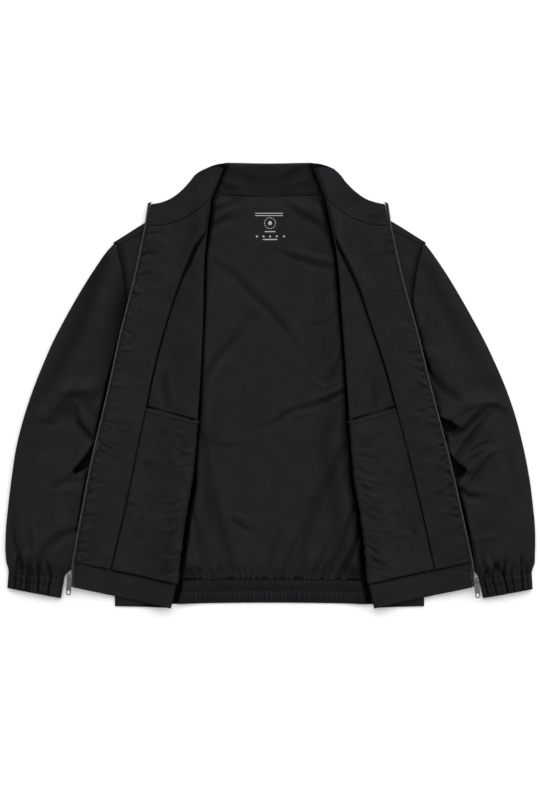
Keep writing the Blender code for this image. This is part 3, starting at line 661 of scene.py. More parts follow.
def flapWithGrooves(front, share):
    across = flapColumns(front, share, frontLook["flapColumns"])
    share = share[:, None]
    flap = front.flap(share, across)
    flap[..., 2] = np.maximum(flap[..., 2], grooveFloor(front, share, across))
    shade = edgeGroove(front, share, across, flap)
    above = flap[..., 1] - pocketTopY(front, np.abs(flap[..., 0])) - grooveLook["pocketAbove"]
    dip = np.exp(-(above / grooveLook["pocketWidth"]) ** 2)
    dropInto(front, share, across, flap, grooveLook["pocketDepth"] * dip)
    # painted shade in the grooves, above the pocket, in the folds' troughs and along the hem seam
    dips = troughShade(flapFolds(front.side, flap[..., 0], flap[..., 1]), *facingLook["trough"])
    shade = np.maximum(np.maximum(shade, dip * grooveLook["pocketShade"]), dips)
    shade[0, :] = grooveLook["seamShade"]
    return flap, shade


def frontSection(front, share, part=1):
    side, centre, _, _, out = front.rows(share, part)
    start = side - unit(side - centre) * layout["seamGap"]
    rise = front.rise(share if part == 1 else np.zeros_like(share))
    plain = []
    for k in np.linspace(0, 1, frontLook["underColumns"] + 1)[:-1]:
        z = layout["high"] + rise * smoothStep((k - 0.5) / 0.5)
        plain.append(atHeight(mix(start, centre, k), z))
    angles = np.linspace(0, 1, frontLook["foldColumns"] + 1)
    plain += turnedOver(centre, -out, layout["foldRadius"], layout["high"] + rise, angles)
    if part == 0:
        across = np.linspace(0, 1, frontLook["flapColumns"] + 1)[None, 1:]
        flap = front.flap(share[:, None], across, part)
        shade = flap[..., 0] * 0
        # painted shade along the band's top edge
        shade[-1, :] = grooveLook["bandShade"]
    else:
        flap, shade = flapWithGrooves(front, share)
    plain = np.stack(plain, axis=1)
    hidden = np.zeros(plain.shape[:2])
    hidden[:, frontLook["paintedDarkFrom"]:frontLook["underColumns"]] = 1  # painted black shade on the under layer, which is seen only through the flap's grooves
    return np.concatenate((withShade(plain, hidden), withShade(flap, shade)), axis=1)


def buildFront(side):
    front = fronts[side]
    rows = np.linspace(0.0004, 0.9996, frontLook["rows"])
    section = frontSection(front, np.sort(np.concatenate((rows, np.linspace(*frontLook["fineRows"])))))
    piece = clothPiece(f"front_{side}_cloth", [section], shellCloth, layout["visibleWall"])
    band = frontSection(front, np.linspace(0, 0.998, frontLook["bandRows"]), part=0)
    return piece, clothPiece(f"hem_front_{side}_cloth", [band], bandCloth, layout["clothWall"])


facingLook = {
    # trough: depth and most of the painted shade in the folds' troughs
    "rows": 400, "columns": 28, "liftFull": 2.0, "liftWidth": 44.0, "top": 0.6, "trough": (2.0, 0.4),
    "lift": (  # y, lift of the free edge
        (-320, 2.0), (-200, 2.8), (-100, 2.4), (60, 2.6), (120, 3.2), (170, 6.0), (250, 6.5), (300, 4.0),
    ),
}


def buildFacing(side):
    front, look = fronts[side], facingLook
    share = np.linspace(0.004, 0.996, look["rows"])[:, None]
    start = front.facingStart(share)
    _, centre, clothEdge, _, _ = front.rows(share)
    across = start + (1 - start) * np.linspace(0, 1, look["columns"])[None, :]
    distance = (across - start) * np.linalg.norm(clothEdge - centre, axis=-1)
    rise = 1 - smoothStep((distance - look["liftFull"]) / (look["liftWidth"] - look["liftFull"]))
    points = front.flap(share, across)
    offset = layout["clothWall"] + look["top"] + tableAt(look["lift"], points[..., 1]) * rise
    # painted shade in the troughs of the flap's folds
    shade = troughShade(flapFolds(side, points[..., 0], points[..., 1]), *look["trough"])
    section = withShade(raisedFrom(points, offset), shade)
    return clothPiece(f"facing_{side}_cloth", [section], shellCloth, layout["visibleWall"])


pocketLook = {
    "rows": 160, "columns": 54, "topAtFold": -59.0, "topAtFacing": -36.0, "tuck": 8.0,
    "facingX": {"left": 205.0, "right": 210.5}, "offset": 1.8, "wrap": (0.45, 0.95, 8),
    "lip": ((1.6, 3.4), (-1.1, 0.9)),  # height and reach of the top edge's roll, and of its rounding
    "ripples": (("left", 5, 46), ("right", 8, 48)), "rippleLengths": (10, 60), "rippleWidths": (1.8, 3.8),
    "rippleHeights": (0.7, 2.4), "looseTurns": (-65, -15), "looseHeight": 1.5,
    # trough: depth and most of the painted shade in the ripples' troughs
    "foldRipples": 0.3, "rippleLift": 0.6, "softLift": 0.5, "edge": 0.12, "trough": (2.2, 0.45),
    "soft": ((0.5, 22, 31), (0.35, 9, 33)),  # height, size, seed
}


def pocketRipples(side, seed, count):  # small slanted ripples along the fold and low on the bag
    look, random = pocketLook, np.random.RandomState(seed)
    crease = absoluteCurve("foldLine", side)
    rows = []
    for k in range(count):
        y = mix(-318, -80, ((k + random.uniform(0, 1)) / count) ** 1.15)
        x = np.interp(y, crease[:, 1], crease[:, 0]) + random.uniform(-1, 9)
        length = random.uniform(*look["rippleLengths"])
        slant = math.radians(random.uniform(12, 52) * (1 if y < -130 else random.choice((-0.6, 0.4))))
        path = bentPath(x, y, 1, slant, math.radians(random.uniform(-25, 15)), length)
        if path[-1][1] < -324:
            continue
        height = random.choice((-1, 1)) * random.uniform(*look["rippleHeights"])
        height *= 1.2 if y < -200 else 0.9
        rows.append(fold(path, random.uniform(*look["rippleWidths"]), height, 0, 0.9, 0.0))
    for k in range(count):
        x, y = random.uniform(150, 235), random.uniform(-310, -70)
        rows.append(looseFold(random, x, y, look["looseTurns"], look["looseHeight"]))
    return rows


pocketCreases = {side: pocketRipples(side, seed, count) for side, seed, count in pocketLook["ripples"]}


def buildPocket(side):
    front, look = fronts[side], pocketLook
    level, step = np.meshgrid(
        np.linspace(0, 1, look["rows"]), np.linspace(0, 1, look["columns"]), indexing="ij",
    )
    share = 0.2 * level
    topY = mix(look["topAtFold"], look["topAtFacing"], step[0])
    for _ in range(4):
        _, centre, clothEdge, _, _ = front.rows(share)
        reach = front.facingStart(share) + look["tuck"] / np.linalg.norm(clothEdge - centre, axis=-1)
        across = mix(0.01, reach, step)
        high = lastBelow(lambda middle: front.flap(middle, across[-1])[..., 1] < topY, step[0])
        share = mix(0.004, high[None, :], level)
    points = front.flap(share, across)
    shade = edgeGroove(front, share, across, points)
    inside = smoothStep((1 - step) / look["edge"])
    x, y = np.abs(points[..., 0]), points[..., 1]
    ripples = foldHeight(x, y, pocketCreases[side])
    ripples = ripples * mix(look["foldRipples"], 1, smoothStep(step / look["edge"]))
    soft = sum(height for height, _, _ in look["soft"]) + lumps(x, y, look["soft"], sides[side])
    lip = sum(height * np.exp(-((topY[None, :] - y) / width) ** 2) for height, width in look["lip"])
    lifted = np.maximum(ripples + look["rippleLift"] + look["softLift"] * soft, 0)
    offset = look["offset"] + (lifted + lip) * inside
    raised = raisedFrom(points, offset)
    _, centre, _, _, out = front.rows(share[:, 0])
    radius = layout["foldRadius"] + offset[:, 0]
    level = layout["high"] + layout["foldRadius"] + front.rise(share[:, 0]) - radius
    turns = np.linspace(*look["wrap"])
    wrap = np.stack(turnedOver(centre, -out, radius, level, turns), axis=1)
    # painted shade in the groove beside the facing and in the ripples' troughs
    shade = np.maximum(shade, troughShade(ripples, *look["trough"]) * inside)
    parts = withShade(wrap, wrap[..., 0] * 0), withShade(raised, shade)[:, 1:]
    section = np.concatenate(parts, axis=1)
    return clothPiece(f"pocket_{side}_cloth", [section], shellCloth, layout["visibleWall"])


# Back: flat where it rests, raised softly between the fold lines, with the folds that run across it

backLook = {
    "rows": 212, "middleColumns": 138, "edgeColumns": 20, "hiddenColumns": 7, "shoulderRows": 24,
    # trough and seamShade: painted shade in the folds' troughs and along the neck and hem seams
    "lift": 3.2, "lowest": 0.2, "rollReach": 36.0, "trough": (4.5, 0.5), "seamShade": 0.8,
    "wallShare": 0.72,  # how much of the height the steep part beside a fold line takes
    "lumps": ((0.45, 48, 77), (0.3, 17, 78)),  # height, size, seed
    "neck": (314, 16, 0.3), "hem": (-322, 26, 0.45),  # y, reach and share of the height left at each end
    "foldScale": ((-320, 2.0), (-60, 1.5), (120, 1.2), (230, 1.0), (285, 1.7)),  # y, depth of the folds
    "crevice": {  # beside the fold line: y, width of the steep part, of the whole rise, height of the roll
        "left": (
            (-322, 9, 13, 12), (-256, 10, 14, 13), (-190, 9, 15, 12), (-107, 4.5, 15, 9), (-24, 3, 13, 7.5),
            (59, 2, 9, 6), (142, 2, 9, 5.5), (300, 2, 7, 5),
        ),
        "right": (
            (-322, 8, 15, 12), (-256, 11, 22, 13), (-190, 6, 19, 12), (-107, 5, 26, 10), (-24, 4, 14, 8),
            (59, 3, 11, 7), (142, 3, 13, 6), (300, 2, 8, 5),
        ),
    },
}
backFolds = foldTable(
    ([(-92, 202), (-61, 183), (-29, 150), (-2, 124), (26, 92), (51, 59), (71, 32)], 7, -2.6, 0, 0.6, 0.2),
    ([(-19, 117), (-37, 105), (-57, 76), (-79, 51), (-102, 17), (-112, -8)], 7, -2.4, 0, 0.2, 0.7),
    ([(4, 225), (34, 213), (64, 203), (108, 192)], 5.5, -2.6, 0, 0.2, 0.9),
    ([(30, 226), (64, 216), (104, 206)], 4, 1.5, 0, 0.2, 0.9),
    ([(17, 308), (51, 283), (80, 265), (103, 238)], 6, -2.6, 0, 0.2, 1.0),
    ([(60, 316), (82, 300), (98, 282)], 5, -1.8, 0, 0.4, 1.0),
    ([(-32, 311), (-66, 300), (-98, 284)], 5.5, -2.4, 0, 0.2, 1.0),
    ([(-52, 281), (-79, 271), (-102, 256)], 5, -2.0, 0, 0.2, 1.0),
    ([(-60, 296), (-98, 270)], 3.5, 1.2, 0, 0.2, 1.0),
    ([(59, 105), (84, 100), (110, 114)], 5, -1.4, 0, 0.2, 0.6),
    ([(80, 150), (112, 158)], 5, -1.1, 0, 0.2, 0.7),
    ([(84, 38), (104, 60), (112, 96)], 5, -1.4, 0, 0.3, 0.6),
    ([(92, 1), (109, 26), (122, 54)], 5, -2.4, 0, 0.4, 1.0),
    ([(60, 20), (92, -2), (112, 8)], 4, 1.2, 0, 0.2, 0.8),
    (
        [(125, -10), (92, -26), (64, -36), (34, -44), (9, -61), (-16, -74), (-40, -80)],
        4.5, -3.0, 0, 1.0, 0.1,
    ),
    ([(125, -2), (92, -17), (66, -24)], 3.5, 1.6, 0, 1.0, 0.1),
    ([(118, -32), (100, -66), (80, -99), (57, -126)], 7, -2.2, 0, 0.8, 0.2),
    ([(124, -105), (104, -140), (84, -182), (67, -223), (54, -273), (49, -318)], 8, -3.0, 0, 0.9, 0.7),
    ([(142, -205), (125, -240), (109, -281), (94, -316)], 5, -4.0, 0, 1.0, 0.9),
    ([(152, -246), (134, -281), (117, -316)], 4.5, -4.2, 0, 1.0, 0.9),
    ([(131, -226), (116, -262), (104, -300)], 5, 2.2, 0, 0.5, 0.8),
    ([(100, -256), (84, -290), (72, -316)], 3, -1.8, 0, 0.3, 1.0),
    ([(47, -248), (31, -290), (19, -318)], 4, -1.9, 0, 0.2, 1.0),
    ([(17, -240), (3, -281), (-6, -318)], 6, -1.5, 0, 0.2, 0.8),
    ([(-111, -90), (-102, -157), (-90, -223), (-75, -273), (-64, -318)], 9, -2.8, 0, 0.7, 0.6),
    ([(-88, -10), (-99, -50), (-98, -100), (-92, -150)], 6, 1.3, 0, 0.2, 0.2),
    ([(-88, -97), (-69, -103), (-50, -100)], 4, -1.2, 0, 0.4, 0.2),
    ([(-62, -226), (-44, -236), (-28, -246)], 4.5, -1.5, 0, 0.4, 0.2),
    ([(-58, -215), (-36, -222)], 4.5, 1.0, 0, 0.4, 0.2),
    ([(-128, -214), (-112, -260), (-106, -300)], 6, -2.0, 0, 0.8, 0.4),
)


gatherLook = {"seed": 3, "count": 46, "half": 165, "seamY": -322, "lengths": (9, 34), "heights": (1.0, 2.5)}


def hemGathers():  # short folds that rise from the gathered band
    look, random = gatherLook, np.random.RandomState(gatherLook["seed"])
    half, seamY = look["half"], look["seamY"]
    rows = []
    for k in range(look["count"]):
        x = mix(-half, half, (k + random.uniform(0.15, 0.85)) / look["count"])
        length = random.uniform(*look["lengths"])
        lean = random.uniform(-0.3, 0.3) + 0.45 * x / half
        height = random.uniform(*look["heights"])
        path = [(x, seamY + 2), (x + lean * length, seamY + length)]
        rows.append(fold(path, random.uniform(2.0, 3.4), -height, 0, 1, 0))
    return rows


backFolds += hemGathers()


def creviceAt(x, y, column):
    left, right = (tableAt(backLook["crevice"][side], y, column) for side in sides)
    return np.where(x < 0, left, right)


def riseOver(inner, steep, whole, start=0.0):  # from the fold line: a steep wall, then a round shoulder
    wall = backLook["wallShare"] * np.clip((inner + start) / (steep + start), 0, 1)
    dip = 1 - np.clip((inner - steep) / (whole - steep), 0, 1)
    return wall + (1 - backLook["wallShare"]) * np.sqrt(1 - dip ** 2)


neckRoll = {"height": 5.5, "from": 4.0, "reach": 20.0, "steep": 2.4, "whole": 8.0}


def neckRise(inner):  # share of the full height, and the extra height, near the folded collar
    extra = neckRoll["height"] * (1 - smoothStep((inner - neckRoll["from"]) / neckRoll["reach"]))
    return riseOver(inner, neckRoll["steep"], neckRoll["whole"]), extra


def backHeight(x, y):
    look, inner = backLook, insideFolds(x, y)
    steep, reach, rollLift = (creviceAt(x, y, column) for column in (1, 2, 3))
    rise = riseOver(inner, steep + 0.7 * softNoise(x * 0, y, 40, 79), reach, 0.5)
    roll = 1 - smoothStep((inner - reach) / look["rollReach"])
    (neckY, neckReach, neckLeft), (hemY, hemReach, hemLeft) = look["neck"], look["hem"]
    neck, hem = smoothStep((neckY - y) / neckReach), smoothStep((y - hemY) / hemReach)
    level = look["lift"] + rollLift * roll * hem * neck
    level = level + tableAt(look["foldScale"], y) * foldHeight(x, y, backFolds) + lumps(x, y, look["lumps"])
    _, extra = neckRise(inner)
    level = np.maximum(level, look["lowest"]) * mix(neckLeft, 1, neck) + extra * (1 - neck)
    return level * rise * mix(hemLeft, 1, hem)


paintedCreviceShadeLook = {
    "steepShare": 0.75, "wholeShare": 1.1, "neck": 4.0, "neckFrom": 200.0, "neckOver": 80.0, "power": 1.3,
    "uneven": 0.5,
}


def creviceShade(x, y):  # painted shade beside the fold lines, wider toward the neck
    look = paintedCreviceShadeLook
    steep, reach = (creviceAt(x, y, column) for column in (1, 2))
    more = look["neck"] * smoothStep((y - look["neckFrom"]) / look["neckOver"])
    uneven = 1 + look["uneven"] * softNoise(x * 0 + np.sign(x) * 500, y, 42, 81)
    full = steep * look["steepShare"] * uneven + more
    none = reach * look["wholeShare"] + 1.5 * more
    return smoothStep((none - insideFolds(x, y)) / (none - full)) ** look["power"]


def backColumns(left, right, y):  # a row's x: sparse below the fronts, close along the fold lines
    edge, middle, hidden = (backLook[name + "Columns"] for name in ("edge", "middle", "hidden"))
    leftFold = np.maximum(foldLineAt("left", y), left + 6)
    rightFold = np.minimum(foldLineAt("right", y), right - 6)
    stops = (left, leftFold - 3, leftFold + 18, rightFold - 20, rightFold + 3, right)
    counts = (hidden, edge, middle, edge, hidden)
    parts = []
    for start, end, count in zip(stops, stops[1:], counts):
        parts.append(mix(start, end, np.linspace(0, 1, count, endpoint=False)))
    return np.concatenate(parts + [[right]])


def buildBack():
    shift = layout["seamGap"]
    share = np.linspace(0, 1, backLook["rows"])
    leftEdge, rightEdge = curveAt(bodyEdge("left"), share), curveAt(bodyEdge("right"), share)
    rows = []
    for k, (left, y) in enumerate(leftEdge):
        row = backColumns(left + shift, rightEdge[k, 0] - shift, y)
        seam = hemLine(row, 0.0) + shift
        rows.append((row, seam if k == 0 else np.maximum(y, seam + share[k] * 6)))
    table = np.array(layout["shoulder"], float)
    shoulder = curveAt(table[:, :2], np.linspace(0, 1, backLook["shoulderRows"]))
    for k, (half, y) in enumerate(shoulder):
        row = backColumns(-half, half, y)
        neck = tableAt(layout["collarBack"], np.abs(row)) + 0.6
        rows.append((row, y - (shoulder[-1, 1] - neck) * smoothStep(2 * k / (len(shoulder) - 1) - 1)))
    x, y = np.array(rows).swapaxes(0, 1)
    # painted shade beside the fold lines, in the folds' troughs and along the two seams
    shade = np.maximum(creviceShade(x, y), troughShade(foldHeight(x, y, backFolds), *backLook["trough"]))
    shade[0, :] = shade[-1, :] = backLook["seamShade"]
    panel = np.stack((x, y, layout["low"] + backHeight(x, y), shade), axis=-1)
    strips = [shoulderStrip(side) for side in sides]
    return clothPiece("back_cloth", [panel] + strips, shellCloth, layout["visibleWall"])


def shoulderStrip(side):  # the back turned over the shoulder to the front seam
    sign, point = sides[side], layout["shoulderPoint"]
    neck = fronts[side].rows(np.array(1.0))[1]
    table = np.array(layout["shoulder"], float)
    share = np.linspace(0, 1, backLook["shoulderRows"])
    start = curveAt(table[:, :2], share) * (sign, 1)
    seamX = np.interp(share, np.linspace(0, 1, len(table)), table[:, 2])
    seamY = mix(point[1], neck[1], (seamX - point[0]) / (abs(neck[0]) - point[0])) + layout["gap"]
    seam = np.column_stack((sign * seamX, seamY))
    radius = (layout["high"] - layout["low"]) / 2
    columns = turnedOver(start, unit(start - seam), radius, layout["low"], np.linspace(0, 1, 9))
    columns += [atHeight(mix(start, seam, k), layout["high"]) for k in (0.25, 0.5, 0.75, 1.0)]
    return np.stack(columns, axis=1)


# Elastic band of the back: two gathered channels either side of a stitch row

hemLook = {
    "rows": 38, "columns": 440, "puff": 3.4, "roll": 4.0, "lift": 1.2, "step": (3.3, 7.4), "slant": 0.5,
    # valleyShade and seamShade: painted shade between the puffs and along the seam
    "seeds": (4, 27), "valleyShade": 0.6, "allowance": 4.0, "seamShade": 0.9, "seamRows": 2,
    "closeHalf": 176.0, "closePart": 0.94,  # half width of the part that shows, and its part of the columns
    "shown": (2, 10), "rollFrom": (12, 40),  # distance inside the fold lines, and over what distance
    "channelPower": 0.55, "leastPuff": 0.2, "wander": (1.2, 12, 5), "slantNoise": (60, 6), "slantFrom": -330,
}


def gathers(along, seed, step):  # rounded puffs of uneven width with a narrow valley between each two
    random = np.random.RandomState(seed)
    valleys = -300 + np.cumsum(random.uniform(*step, 400))
    heights = random.uniform(0.45, 1.0, 401)
    index = np.clip(np.searchsorted(valleys, along), 1, len(valleys) - 1)
    share = np.clip((along - valleys[index - 1]) / (valleys[index] - valleys[index - 1]), 0, 1)
    return heights[index] * (4 * share * (1 - share)) ** 0.8


def buildHemBack():
    look, half = hemLook, hemLook["closeHalf"]
    level, column = np.meshgrid(
        np.linspace(0.004, 1, look["rows"]), np.linspace(-1, 1, look["columns"]), indexing="ij",
    )
    outer = np.maximum(np.abs(column) - look["closePart"], 0) / (1 - look["closePart"])
    x = column * half * (1 + outer * ((layout["hemHalf"] - layout["gap"]) / half - 1))
    y = hemLine(x, level)
    inner = insideFolds(x, y)
    reaches = look["shown"], look["rollFrom"]
    shown, rolled = (smoothStep((inner - first) / over) for first, over in reaches)
    roll = look["roll"] * (1 - rolled) + look["lift"]
    channel = np.abs(np.sin(2 * math.pi * level)) ** look["channelPower"]
    wander = lumps(x, y, (look["wander"],))
    slant = look["slant"] * softNoise(x, np.zeros_like(x), *look["slantNoise"]) * (y - look["slantFrom"])
    upper = gathers(x + wander + slant, look["seeds"][0], look["step"])
    lower = gathers(x + wander, look["seeds"][1], look["step"])
    puffs = np.where(level < 0.5, upper, lower)
    z = layout["low"] + shown * (roll + channel * look["puff"] * mix(look["leastPuff"], 1, puffs))
    # painted shade beside the fold lines, between the puffs and along the seam
    shade = np.maximum(creviceShade(x, y), look["valleyShade"] * (1 - puffs) ** 2 * shown)
    shade[:look["seamRows"]] = look["seamShade"]
    band = np.stack((x, y, z, shade), axis=-1)
    under = band[:1] + (0, look["allowance"], 0, 0)  # the seam allowance, under the back's lower edge, painted dark along the seam
    under[..., 2:] = layout["low"], look["seamShade"]
    band = np.concatenate((under, band))
    return clothPiece("hem_back_cloth", [band], bandCloth, layout["visibleWall"])


# Collar

collarLook = {
    "levels": 40, "backColumns": 34, "flapColumns": 44, "wall": 1.0,
    "stand": 10.0, "lift": 1.0, "topFrom": 0.93, "topDrop": 0.7,  # the top edge rolls down again
    # trough, backShade and seamShade: painted shade in the folds' troughs, over the back part and along the
    # neck seam
    "lumps": ((0.5, 25, 15),), "flapFrom": (92, 16), "trough": (2.0, 0.4), "backShade": 0.16,
    "seamShade": 0.8,
}
collarFolds = foldTable(
    ([(-62, 352), (-30, 342), (6, 330)], 6, -1.3, 0, 0.4, 0.1),
    ([(8, 336), (32, 348), (58, 362)], 6, -1.5, 0, 0.2, 0.8),
    ([(24, 330), (56, 340), (84, 352)], 4, 1.0, 0, 0.2, 0.7),
    ([(-84, 346), (-62, 334), (-40, 330)], 5, 1.2, 0, 0.9, 0.1),
    ([(-88, 336), (-70, 326), (-46, 322)], 4, -1.2, 0, 0.9, 0.1),
    ([(86, 338), (70, 330), (50, 326)], 4, -1.2, 0, 0.9, 0.1),
    ([(-196, 287), (-176, 281), (-160, 284)], 5, 1.0, 0, 0.6, 0.0),
    ([(-180, 296), (-172, 284)], 4, 0.9, 0, 0.3, 0.3),
    ([(-146, 320), (-134, 298)], 5, 1.1, 0, 0.5, 0.1),
    ([(-122, 338), (-116, 318), (-106, 300)], 7, 1.0, 0, 0.4, 0.2),
    ([(134, 322), (128, 304), (126, 292)], 5, 1.1, 0, 0.6, 0.1),
    ([(146, 312), (136, 292)], 4, -0.8, 0, 0.5, 0.1),
    ([(112, 346), (108, 322), (104, 304)], 7, 1.0, 0, 0.4, 0.2),
    ([(190, 292), (166, 284), (150, 290)], 5, 1.0, 0, 0.6, 0.0),
    ([(192, 284), (172, 277)], 4, 0.8, 0, 0.6, 0.0),
)


def collarHalf(side, level):
    front, sign = fronts[side], sides[side]
    table = np.array(layout["collarBack"], float)
    low, high, turn = layout["low"], layout["high"], layout["foldRadius"]
    row = []
    for k in np.linspace(0, 1, collarLook["backColumns"]):
        plan = mix(curveAt(table[:, :2], k), curveAt(table[:, (0, 2)], k), level[:, None])
        row.append(atHeight(plan * (sign, 1), low))
    outer = row[-1][:, :2]
    row += turnedOver(outer, np.array((sign, 0.0)), (high - low) / 2, low, np.arange(1, 7) / 6)
    foldTop = sideCurve(layout["foldLine"], side)[-1]
    _, seamFold, _, _, out = front.rows(np.array(1.0))
    lowerFold = seamFold - out * turn + (0, layout["gap"])
    out = unit(mix(out, np.array((sign, 0.0)), level[:, None]))
    centre = mix(lowerFold, foldTop, level[:, None]) + out * turn
    row += [atHeight(mix(outer, centre, k), high) for k in (0.33, 0.66)]
    row += turnedOver(centre, -out, turn, high, np.arange(13) / 12)
    top = sideCurve(layout["collarTop"], side)
    end = top[-1] - (sign * (layout["tapeWidth"] + layout["gap"]), 0)
    top = np.vstack((foldTop + (sign * turn, 0), top[1:-1], end))
    for across in np.linspace(0, 1, collarLook["flapColumns"])[1:]:
        seam = front.flap(1.0, across) + (0, layout["gap"], 0)
        row.append(atHeight(mix(seam[:2], curveAt(top, across), level[:, None]), seam[2]))
    return np.stack(row, axis=1)


def buildCollar():
    look = collarLook
    level = np.linspace(0, 1, look["levels"])
    left, right = collarHalf("left", level), collarHalf("right", level)
    points = np.concatenate((left[:, :0:-1], right), axis=1)
    x, y, z = np.moveaxis(points, -1, 0)
    onFlap, onBack = z > layout["high"] + 2, z < layout["low"] + 0.01
    folds = foldHeight(x, y, collarFolds)
    flapShare = smoothStep((np.abs(x) - look["flapFrom"][0]) / look["flapFrom"][1])
    backShare, extra = neckRise(insideFolds(x, y))
    level = level[:, None]
    rolled = smoothStep((level - look["topFrom"]) / (1 - look["topFrom"]))
    stand = look["stand"] * level * (1 - look["topDrop"] * rolled)
    lift = look["lift"] + extra + np.maximum(stand - extra, 0) + folds + lumps(x, y, look["lumps"])
    z += np.where(onFlap, folds * flapShare, 0) + np.where(onBack, np.maximum(lift, 0) * backShare, 0)
    # painted shade in the folds' troughs, over the back part, beside the fold lines and along the neck seam
    shade = troughShade(folds, *look["trough"]) + np.where(onBack, look["backShade"], 0)
    shade = np.where(onBack, np.maximum(creviceShade(x, y), shade), shade)
    shade[0, :] = look["seamShade"]
    return clothPiece("collar_cloth", [withShade(points, shade)], shellCloth, look["wall"])


# Sleeves and cuffs

sleeveLook = {
    "stations": 310, "insideStep": 3, "bottomSteps": 10, "cornerSteps": 5, "crownSteps": 88,
    "crownPower": 2.6,
    "outer": (  # y, left x, right x
        (234.6, 257.5, 257.5), (200, 294.5, 287.5), (150, 322.5, 319), (100, 346.5, 344), (51, 368.5, 367.5),
        (1, 389, 389.5), (-49, 406, 407), (-99, 419, 420), (-149, 427, 430), (-198, 433, 436.5),
        (-248, 437.5, 440.5), (-280, 437.5, 440), (-296, 435.5, 439), (-304, 433, 436), (-308, 432.5, 434.5),
    ),
    "inner": (
        (-62.5, 287.5, 287.5), (-105, 289, 289), (-150, 291, 292), (-200, 298, 301), (-245, 308, 314),
        (-285, 320, 328), (-301, 326, 335), (-310, 334, 341), (-315.5, 339.5, 345), (-318, 340, 346),
    ),
    "height": {  # fraction from the armhole to the cuff, height of the crown
        "left": (
            (0.0, 2.7), (0.008, 3.2), (0.03, 11), (0.06, 14), (0.2, 17), (0.45, 18.5), (0.75, 19),
            (0.93, 17.5), (1, 11),
        ),
        "right": (
            (0.0, 2.7), (0.004, 3.4), (0.012, 7), (0.04, 11), (0.2, 16), (0.45, 18.5), (0.75, 19),
            (0.93, 17.5), (1, 11),
        ),
    },
    "fan": 1.25, "crowding": 1.12, "armholeGap": -0.4, "cuffTuck": 0.6, "follow": 0.35,
    "lumps": ((0.7, 34, 41), (0.25, 13, 43)),  # height, size, seed
    "pitFloor": 2.6, "pitSlope": 4.0, "least": 3.0,
    # shade and trough: how the painted shade grows in the pits, dips, gathers and troughs
    "shade": {"pit": 4.0, "dip": 7.0, "gather": 0.28, "gatherDepth": 5.0}, "trough": (7.0, 0.5),
}
